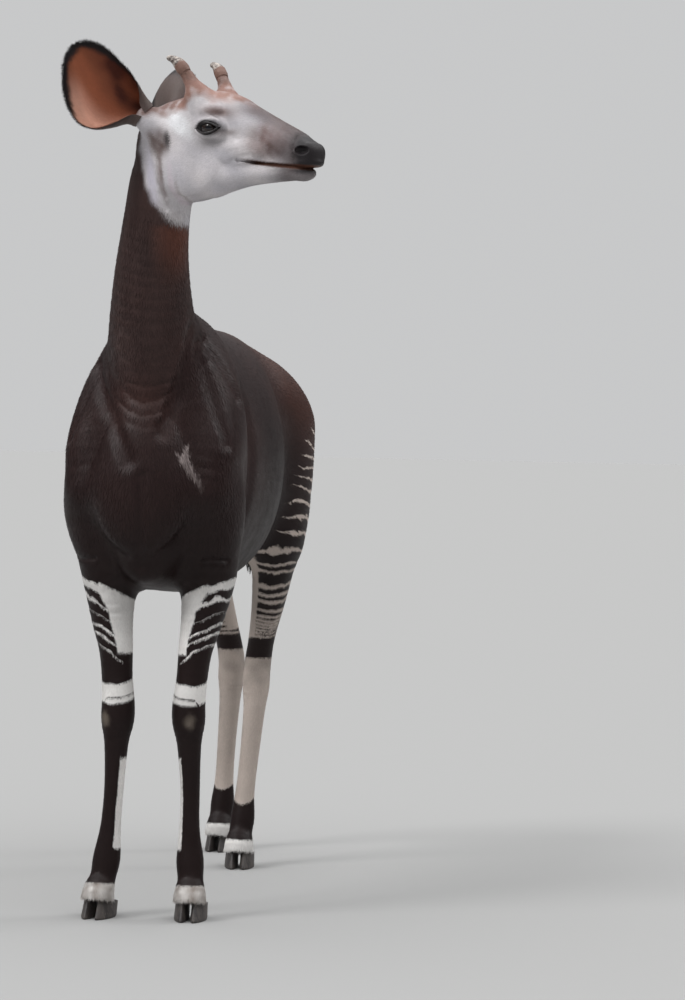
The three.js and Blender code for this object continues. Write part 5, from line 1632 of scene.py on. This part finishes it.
def scatter(piece, faces, spacing):
    """Points spread evenly over some faces, each with its face and its weights."""
    tri = piece.points[faces]
    area = np.linalg.norm(np.cross(tri[:, 1] - tri[:, 0], tri[:, 2] - tri[:, 0]), axis=1) / 2
    want = area / spacing**2 * TRIES
    count = np.floor(want + RANDOM.random(len(want))).astype(int)
    face = np.repeat(np.arange(len(faces)), count)
    a, b = RANDOM.random(len(face)), RANDOM.random(len(face))
    over = a + b > 1
    a[over], b[over] = 1 - a[over], 1 - b[over]
    weight = np.stack([1 - a - b, a, b], 1)
    spot = (tri[face] * weight[..., None]).sum(1)
    cell = np.floor(spot / spacing[face][:, None]).astype(np.int64)
    _, keep = np.unique(cell_keys(cell), return_index=True)
    keep.sort()
    return faces[face[keep]], weight[keep], face[keep]


def tuft_mesh(name, piece, chosen, size):
    """Tufts rooted on the chosen faces of a piece; sizes are in spacings."""
    faces = piece.faces[chosen]
    spacing = size["spacing"](piece.points[faces].mean(1))
    corner, weight, face = scatter(piece, faces, spacing)

    def at_root(value):
        return (value[corner] * (weight if value.ndim == 1 else weight[..., None])).sum(1)

    root = at_root(piece.points)
    normal = unit(at_root(piece.normals))
    lie = along_surface(at_root(piece.lie), normal)
    side = np.cross(normal, lie)
    count = len(root)
    gap = spacing[face]
    sway = RANDOM.normal(0, SWAY, count)[:, None]
    lie = unit(lie + side * sway)
    side = np.cross(normal, lie)
    length = gap * size["length"] * RANDOM.uniform(0.75, 1.25, count)
    width = gap * size["width"] * RANDOM.uniform(0.8, 1.2, count)
    lift = size["lift"] * RANDOM.uniform(0.6, 1.4, count) * length
    base = root - normal * ROOT_DEPTH
    middle = root + lie * (length * 0.45)[:, None] + normal * (lift * 0.75)[:, None]
    tip = root + lie * length[:, None] + normal * lift[:, None]
    half = side * (width / 2)[:, None]
    points = np.stack([base, middle - half, middle + half, tip], 1)
    tilt = side * 0.35
    normals = np.stack([normal, unit(normal - tilt), unit(normal + tilt), normal], 1)
    ids = np.arange(count)[:, None] * 4
    tris = np.concatenate([ids + [0, 1, 2], ids + [1, 3, 2]], 1).reshape(-1, 3)
    obj = new_mesh(name, to_model(points.reshape(-1, 3)), tris, coat_look)
    values = {k: np.repeat(at_root(v), 4, axis=0) for k, v in piece.values.items()}
    add_values(obj, values, np.repeat(to_model(root), 4, axis=0))
    corner_uv = piece.corner_uv.reshape(-1, 3, 2)[chosen[face]]
    place = (corner_uv * weight[..., None]).sum(1)
    uv = place[:, None] + TUFT_PATCH[None]
    add_uv(obj, uv[:, [0, 1, 2, 1, 3, 2]].reshape(-1, 2))
    obj.data.normals_split_custom_set_from_vertices(normals.reshape(-1, 3))
    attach(obj, BODY)


coat_look = coat_material("coat", True)
SHORT = {"spacing": tuft_spacing, "length": 2.4, "width": 0.55, "lift": 0.08}
EARS_SHORT = {"spacing": lambda p: np.full(len(p), 2.9), "length": 2.6, "width": 0.5, "lift": 0.12}
FRINGE = {"spacing": lambda p: np.full(len(p), 2.2), "length": 4.6, "width": 0.4, "lift": 0.16}
HANGING = {"spacing": lambda p: np.full(len(p), 2.1), "length": 6.4, "width": 0.5, "lift": 0.1}
FRONT, TRUNK_MIDDLE, REAR = -2000, 470, 2000
face_middle = body_piece.points[body_piece.faces].mean(1)
face_part = part_of(face_middle)
f, side, up = head_axes(face_middle)
at_eye = (np.hypot((f - EYE["f"]) / 34, (up - EYE["up"]) / 19) < 1) & (np.abs(side) < 110)
at_nose = (f > 425) & (up > -125) & (face_middle[:, 2] > 1750)
bald = at_eye | at_nose
for name, parts, first, last in [
    ("coat_trunk_front", [TRUNK], FRONT, TRUNK_MIDDLE),
    ("coat_trunk_rear", [TRUNK], TRUNK_MIDDLE, REAR),
    ("coat_neck", [NECK], FRONT, REAR),
    ("coat_head", [HEAD], FRONT, REAR),
    ("coat_forelegs", [LEGS, LEGS + 1], FRONT, REAR),
    ("coat_hindlegs", [LEGS + 2, LEGS + 3, TAIL], FRONT, REAR),
]:
    mine = np.isin(face_part, parts) & (face_middle[:, 1] >= first) & (face_middle[:, 1] < last)
    tuft_mesh(name, body_piece, np.nonzero(mine & ~bald)[0], SHORT)
ears_whole = joined(ear_pieces)
tuft_mesh("coat_ears", ears_whole, np.arange(len(ears_whole.faces)), EARS_SHORT)
for piece in ear_pieces:
    piece.lie = piece.outward_lie
rim = np.concatenate([piece.rim[piece.faces].mean(1) for piece in ear_pieces])
tuft_mesh("coat_ear_rims", joined(ear_pieces), np.nonzero(rim > 0.93)[0], FRINGE)
tuft_mesh("coat_coronets", body_piece, np.nonzero(below_coronet(face_middle) > -13)[0], HANGING)


# Smaller pieces, each a mesh of its own

def outward(points, faces):
    """Triangles turned so that a closed form faces outward."""
    tri = points[faces]
    volume = (np.cross(tri[:, 0], tri[:, 1]) * tri[:, 2]).sum()
    return faces if volume > 0 else faces[:, ::-1]


def ring_faces(count, sides, loop=False):
    """Triangles over rings of points: open ends are closed with fans, a loop needs none."""
    ids = np.arange(count * sides).reshape(count, sides)
    a = ids if loop else ids[:-1]
    d = np.roll(ids, -1, axis=0) if loop else ids[1:]
    b = np.roll(a, -1, axis=1)
    c = np.roll(d, -1, axis=1)
    faces = [np.stack([a, b, c], -1).reshape(-1, 3), np.stack([a, c, d], -1).reshape(-1, 3)]
    if not loop:
        fan = np.array([[0, n + 1, n] for n in range(1, sides - 1)])
        faces += [fan, ids[-1][fan][:, ::-1]]
    return np.concatenate(faces)


def tube(line, radii, sides, flat=1.0, loop=False, hint=(0.31, 0.22, 0.92)):
    """A tube along a line of points, as points and faces; flat makes its section an oval."""
    line = np.asarray(line, float)
    if loop:
        along = unit(np.roll(line, -1, axis=0) - np.roll(line, 1, axis=0))
    else:
        along = unit(np.gradient(line, axis=0))
    one = unit(np.cross(along, hint))
    two = np.cross(along, one)
    turn = np.linspace(0, 2 * math.pi, sides, endpoint=False)
    ring = np.cos(turn)[None, :, None] * one[:, None] + flat * np.sin(turn)[None, :, None] * two[:, None]
    points = line[:, None] + ring * np.asarray(radii, float)[:, None, None]
    points = points.reshape(-1, 3)
    return points, outward(points, ring_faces(len(line), sides, loop))


def merged(forms):
    """Several forms, each points and faces, as one."""
    first = np.cumsum([0] + [len(points) for points, _ in forms])
    return (
        np.concatenate([points for points, _ in forms]),
        np.concatenate([faces + n for (_, faces), n in zip(forms, first)]),
    )


def add_piece(name, form, material, instead_of=(), values=None):
    """An object of the model from a form in millimetres."""
    points, faces = form
    obj = new_mesh(name, to_model(points), faces, material)
    for key, value in (values or {}).items():
        made = obj.data.attributes.new(key, "FLOAT", "POINT")
        made.data.foreach_set("value", np.asarray(value, np.float32))
    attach(obj, BODY)
    if instead_of:
        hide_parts(*instead_of)


def plain_look(name, colours, scale, rough, bumps, specular=0.4, stretch=None):
    """A material of two colours in patches, with a fine grain on top."""
    material, tree, shader = new_material(name)
    vector = node(tree, "ShaderNodeTexCoord").outputs["Object"]
    if stretch:
        mapped = node(tree, "ShaderNodeMapping")
        mapped.inputs["Scale"].default_value = stretch
        tree.links.new(vector, mapped.inputs["Vector"])
        vector = mapped.outputs["Vector"]
    patches = noise(tree, scale, 5, vector, 0.6)
    colour = mix_colour(tree, ramp_between(tree, patches, 0.36, 0.64), *colours[:2])
    if len(colours) > 2:
        specks = ramp_between(tree, noise(tree, scale * 4.3, 4, vector, 0.7), 0.56, 0.68)
        colour = mix_colour(tree, specks, colour, colours[2])
    tree.links.new(colour, shader.inputs["Base Color"])
    rough = ramp_between(tree, patches, 0.3, 0.7, *rough, smooth=False)
    tree.links.new(rough, shader.inputs["Roughness"])
    shader.inputs["Specular IOR Level"].default_value = specular
    fine = bump(tree, noise(tree, bumps[0] * 3, 3, vector), bumps[1] * 0.4, 0.7)
    grain = bump(tree, noise(tree, bumps[0], 4, vector), bumps[1], 0.7, fine)
    tree.links.new(grain, shader.inputs["Normal"])
    return material


# Eyes: a dark ball with a wide level pupil under a raised clear front

EYE_FORWARD = math.radians(24)
EYE_SIDES = 56
CORNEA_RISE = 1.1
PUPIL = (8.2, 4.6)  # half its width and height
LASHES = 54


def eye_form(s):
    """The ball, with how far each point is from the middle of the iris and of the pupil."""
    axis = unit(HEAD_SIDE * s * math.cos(EYE_FORWARD) + HEAD_FORWARD * math.sin(EYE_FORWARD))
    across = unit(np.cross(UP, axis))
    above = np.cross(axis, across)
    lean = np.linspace(0.004, math.pi - 0.004, EYE_SIDES)
    turn = np.linspace(0, 2 * math.pi, EYE_SIDES, endpoint=False)
    radius = EYE["radius"] + CORNEA_RISE * (1 - smooth_step(lean, 0.1, 0.75))
    ahead = (radius * np.cos(lean))[:, None] * np.ones(EYE_SIDES)
    u = (radius * np.sin(lean))[:, None] * np.cos(turn)
    v = (radius * np.sin(lean))[:, None] * np.sin(turn)
    centre = head_point(EYE["f"], s * EYE["side"], EYE["up"])
    points = centre + ahead[..., None] * axis + u[..., None] * across + v[..., None] * above
    points = points.reshape(-1, 3)
    iris = np.repeat(np.degrees(lean), EYE_SIDES)
    pupil = np.where(ahead > 0, np.hypot(u / PUPIL[0], v / PUPIL[1]), 9).reshape(-1)
    faces = outward(points, ring_faces(EYE_SIDES, EYE_SIDES))
    return (points, faces), {"iris": iris, "pupil": pupil}


def eye_look():
    material, tree, shader = new_material("eye")
    iris = attribute(tree, "iris")
    pupil = attribute(tree, "pupil")
    streaks = noise(tree, 260, 3, None, 0.6)
    streaks = ramp_between(tree, streaks, 0.35, 0.65)
    brown = mix_colour(tree, streaks, (0.010, 0.005, 0.004), (0.022, 0.011, 0.008))
    ring = ramp_between(tree, iris, 30, 37)
    colour = mix_colour(tree, ring, brown, (0.008, 0.006, 0.007))
    white = ramp_between(tree, iris, 48, 58)
    veins = ramp_between(tree, noise(tree, 420, 4), 0.5, 0.62)
    sclera = mix_colour(tree, veins, (0.05, 0.035, 0.032), (0.03, 0.016, 0.014))
    colour = mix_colour(tree, white, colour, sclera)
    colour = mix_colour(tree, ramp_between(tree, pupil, 0.9, 1.08), (0.003, 0.003, 0.006), colour)
    tree.links.new(colour, shader.inputs["Base Color"])
    wet = ramp_between(tree, noise(tree, 90, 3), 0.3, 0.7, 0.03, 0.07, smooth=False)
    tree.links.new(wet, shader.inputs["Roughness"])
    shader.inputs["Specular IOR Level"].default_value = 0.4
    shader.inputs["Coat Weight"].default_value = 0.25
    shader.inputs["Coat Roughness"].default_value = 0.02
    return material


def lid_edge(s, t, upper):
    """A point on the edge of the lids, t from -1 behind to 1 in front."""
    df = LID["opening"] * t
    du = LID["gap"] * (1 - t * t) * (1 if upper else -1)
    pad = EYE["side"] + (EYE["radius"] + LID["thick"]) * math.sqrt(
        max(0.02, 1 - (df / LID["wide"]) ** 2 - (du / LID["tall"]) ** 2)
    )
    ball = EYE["side"] + math.sqrt(max(0.0, EYE["radius"] ** 2 - df * df - du * du))
    side = 0.45 * pad + 0.55 * max(ball, EYE["side"] + LID["floor"] + 4) - 0.4
    return head_point(EYE["f"] + df, s * side, EYE["up"] + du)


def lid_form(s):
    """A soft rim all round the opening."""
    steps = np.linspace(-1, 1, 29)
    line = [lid_edge(s, t, True) for t in steps] + [lid_edge(s, t, False) for t in steps[-2:0:-1]]
    places = np.concatenate([steps, steps[-2:0:-1]])
    radii = 1.5 + 1.5 * np.sqrt(1 - places**2 * 0.96)
    return tube(line, radii, 12, loop=True)


def lash_form(s):
    """Lashes of the upper lid, curved out, forward and a little down."""
    forms = []
    for n in range(LASHES):
        t = -0.72 + 1.5 * n / (LASHES - 1) + RANDOM.normal(0, 0.012)
        root = lid_edge(s, float(np.clip(t, -0.95, 0.95)), True)
        length = RANDOM.uniform(10, 15) * (0.75 + 0.4 * (1 - t * t))
        way = unit(
            HEAD_SIDE * s * 0.85 + HEAD_FORWARD * (0.25 + 0.45 * t) + UP * -0.35
            + RANDOM.normal(0, 0.08, 3)
        )
        share = np.linspace(0, 1, 5)
        line = root + way * (share * length)[:, None] + UP * (share**2 * length * 0.28)[:, None]
        forms.append(tube(line, 0.42 * (1 - share * 0.88), 4))
    return merged(forms)


# Horn tips: bare, worn and hooked back

HORN_SIDES = 40
TIP_FROM = 0.5  # share of the horn where the tip begins, inside the skin


def horn_tip_look():
    """Skin that gives way to worn, stained bone toward the tip."""
    material, tree, shader = new_material("worn_horn")
    worn = attribute(tree, "worn")
    patches = noise(tree, 110, 5, None, 0.65)
    stain = ramp_between(tree, patches, 0.40, 0.60)
    bone = mix_colour(tree, stain, (0.060, 0.042, 0.038), (0.46, 0.41, 0.37))
    ragged = times(tree, centred_noise(tree, 75, 4, None), 1.1)
    bare = ramp_between(tree, plus(tree, worn, ragged), 0.25, 0.6)
    colour = mix_colour(tree, bare, tuple(HORN_SKIN), bone)
    tree.links.new(colour, shader.inputs["Base Color"])
    rough = ramp_between(tree, patches, 0.3, 0.7, 0.45, 0.65, smooth=False)
    tree.links.new(rough, shader.inputs["Roughness"])
    shader.inputs["Specular IOR Level"].default_value = 0.3
    fine = bump(tree, noise(tree, 800, 3), 0.0005, 0.7)
    grain = bump(tree, noise(tree, 210, 4), 0.0012, 0.7, fine)
    tree.links.new(grain, shader.inputs["Normal"])
    return material


def horn_tip_form(s):
    """The bare tip, with how worn each point is."""
    rows = catmull_rows(horn_rows(s), 9)
    share = catmull_rows([[row[0]] for row in HORN_ROWS], 9)[:, 0]
    rows, share = rows[share > TIP_FROM], share[share > TIP_FROM]
    line = rows[:, :3]
    radii = rows[:, 3] * (1 - 0.3 * smooth_step(share, 0.7, 0.94))
    radii += 0.9 * smooth_step(share, 0.55, 0.63) * (1 - smooth_step(share, 0.7, 0.85))
    radii -= 2.4 * (1 - smooth_step(share, TIP_FROM, 0.6))
    points, faces = tube(line, radii, HORN_SIDES)
    middle = np.repeat(line, HORN_SIDES, axis=0)
    worn = waves(points, 17, 41) * 0.55 + waves(points, 6, 42) * 0.22
    points = points + unit(points - middle) * worn[:, None]
    return (points, faces), {"worn": np.repeat(smooth_step(share, 0.58, 0.95), HORN_SIDES)}


# Hooves: the same claws as in the solid model, with fine growth rings

CLAW = {"cleft": 3, "wide": 42, "toe": 62, "heel": 44, "lean_back": 0.42}
CLAW_LEVELS = np.array([[0, 0.925], [1.6, 0.965], [5, 1], [30, 0.95], [90, 0.84]])


def claw_form(name, outer):
    """One claw of a foot; outer is 1 or -1, the way it bulges."""
    (x, y), toe = FEET[name]
    toe = math.radians(toe)
    sides, levels = 64, 26
    turn = np.linspace(0, 2 * math.pi, sides, endpoint=False)
    ahead, bulge = np.cos(turn), np.sin(turn)
    reach = np.where(ahead > 0, CLAW["toe"], CLAW["heel"])
    wide = np.where(bulge > 0, 0.56, 0.36) * CLAW["wide"]
    lean = np.where(ahead > 0, 1 - 0.3 * ahead**2, 1)

    def wall(height):
        scale = np.interp(height, CLAW_LEVELS[:, 0], CLAW_LEVELS[:, 1])
        grown = 1 + 0.006 * np.sin(height * 1.15) * smooth_step(height, 6, 14)
        middle = CLAW["cleft"] + CLAW["wide"] * 0.36
        px = outer * (middle + bulge * wide * lean * scale * grown - ahead * 3)
        return px, -ahead * reach * scale * grown + height * CLAW["lean_back"] - 6

    top = np.full(sides, float(CORONET["height"]))
    for _ in range(6):
        top = CORONET["height"] + 4 - CORONET["slope"] * wall(top)[1]
    rings = []
    for share in np.linspace(0, 1, levels) ** 1.35:
        height = top * share
        px, py = wall(height)
        rings.append(np.stack([
            x + px * math.cos(toe) - py * math.sin(toe),
            y + px * math.sin(toe) + py * math.cos(toe),
            height,
        ], 1))
    points = np.concatenate(rings)
    return points, outward(points, ring_faces(levels, sides))


# Tail tuft: many tapered locks that hang from the end of the tail

TUFT = {"locks": 110, "top": 1012, "length": 205}


def tuft_form():
    """All the locks, each at a place and of a length of its own."""
    root_y = TAIL_ROWS[-1][1]
    forms = []
    for _ in range(TUFT["locks"]):
        turn = RANDOM.uniform(0, 2 * math.pi)
        start = RANDOM.uniform(0, 60)
        length = TUFT["length"] * RANDOM.uniform(0.72, 0.99) - start * 0.9
        share = np.linspace(0, 1, 8)
        spread = RANDOM.uniform(4, 17) * np.sin(share * 2.4) ** 1.2 + 8 * (1 - share)
        out = np.array([math.cos(turn), math.sin(turn), 0])
        curl = np.array([-out[1], out[0], 0]) * RANDOM.normal(0, 6)
        line = np.array([0, root_y, TUFT["top"] - start]) + out * spread[:, None]
        line = line + curl * (share**2)[:, None]
        line[:, 2] -= share * length
        half = RANDOM.uniform(2.2, 3.6) * np.interp(share, [0, 0.3, 0.7, 1], [0.6, 1, 0.72, 0.06])
        forms.append(tube(line, half, 6, flat=0.4, hint=(out[0], out[1], 0.05)))
    return merged(forms)


dark_skin = plain_look(
    "dark_skin", [(0.010, 0.008, 0.009), (0.022, 0.016, 0.017)], 120, (0.3, 0.45), (500, 0.0004), 0.5
)
lash_look = plain_look(
    "lashes", [(0.006, 0.005, 0.005), (0.012, 0.009, 0.008)], 300, (0.35, 0.5), (900, 0.0002)
)
bone_look = horn_tip_look()
hoof_look = plain_look(
    "hoof",
    [(0.030, 0.026, 0.026), (0.070, 0.060, 0.055), (0.125, 0.105, 0.090)],
    60, (0.42, 0.65), (300, 0.0007), 0.4, (1.0, 1.0, 0.25),
)
hair_look = plain_look(
    "tail_hair", [(0.008, 0.006, 0.006), (0.026, 0.016, 0.013)], 240, (0.38, 0.55), (700, 0.0003), 0.4,
    (1.0, 1.0, 0.12),
)
eye_material = eye_look()
for side_name, s in (("left", 1), ("right", -1)):
    form, values = eye_form(s)
    add_piece(f"eye_{side_name}_ball", form, eye_material, [f"eye_{side_name}"], values)
    add_piece(f"lids_{side_name}", lid_form(s), dark_skin)
    add_piece(f"lashes_{side_name}", lash_form(s), lash_look)
    tip, values = horn_tip_form(s)
    add_piece(f"horn_tip_{side_name}", tip, bone_look, [f"ossicone_tip_{side_name}"], values)
for name in FEET:
    end, side_name = name.split("_")
    out = 1 if side_name == "left" else -1
    claws = merged([claw_form(name, out), claw_form(name, -out)])
    nodes = [f"{end}leg_{side_name}_claw_{which}" for which in ("outer", "inner")]
    add_piece(f"hooves_{name}", claws, hoof_look, nodes)
add_piece("tail_locks", tuft_form(), hair_look, ["tail_tuft"])


# Floor and light

FLOOR_SHADE = (0.32, 0.319, 0.316, 1)
BACKGROUND = 0.585  # what the camera sees of the sky
HORIZON = 0.16  # light from the sky near the horizon
ZENITH = 2.25
SUNS = [  # name, from where, strength, softness in degrees
    ("key", (-5.0, -4.5, 6.0), 1.25, 18),
    ("rim", (6.0, 3.5, 5.0), 0.6, 16),
]


def make_floor():
    bpy.ops.mesh.primitive_plane_add(size=400, location=(0, 0, 0))
    floor = bpy.context.object
    floor.name = "floor"
    material, _, shader = new_material("floor")
    shader.inputs["Base Color"].default_value = FLOOR_SHADE
    shader.inputs["Specular IOR Level"].default_value = 0.0
    floor.data.materials.append(material)


def make_light():
    """Soft light from the whole sky, brighter overhead, and two soft suns."""
    world = bpy.data.worlds.new("studio")
    world.use_nodes = True
    tree = world.node_tree
    way = node(tree, "ShaderNodeSeparateXYZ")
    tree.links.new(node(tree, "ShaderNodeTexCoord").outputs["Generated"], way.inputs[0])
    strength = ramp_between(tree, way.outputs["Z"], 0.25, 0.95, HORIZON, ZENITH)
    seen = node(tree, "ShaderNodeLightPath").outputs["Is Camera Ray"]
    plain = node(tree, "ShaderNodeMix", data_type="FLOAT")
    tree.links.new(seen, plain.inputs[0])
    tree.links.new(strength, plain.inputs[2])
    plain.inputs[3].default_value = BACKGROUND
    tree.links.new(plain.outputs[0], tree.nodes["Background"].inputs["Strength"])
    tree.nodes["Background"].inputs["Color"].default_value = (0.985, 0.992, 1.0, 1)
    bpy.context.scene.world = world
    for name, at, strength, softness in SUNS:
        data = bpy.data.lights.new(name, "SUN")
        data.energy = strength
        data.angle = math.radians(softness)
        light = bpy.data.objects.new(name, data)
        bpy.context.scene.collection.objects.link(light)
        light.location = at
        light.rotation_euler = (-Vector(at)).to_track_quat("-Z", "Y").to_euler()


make_floor()
make_light()
bpy.context.scene.view_settings.view_transform = "Standard"
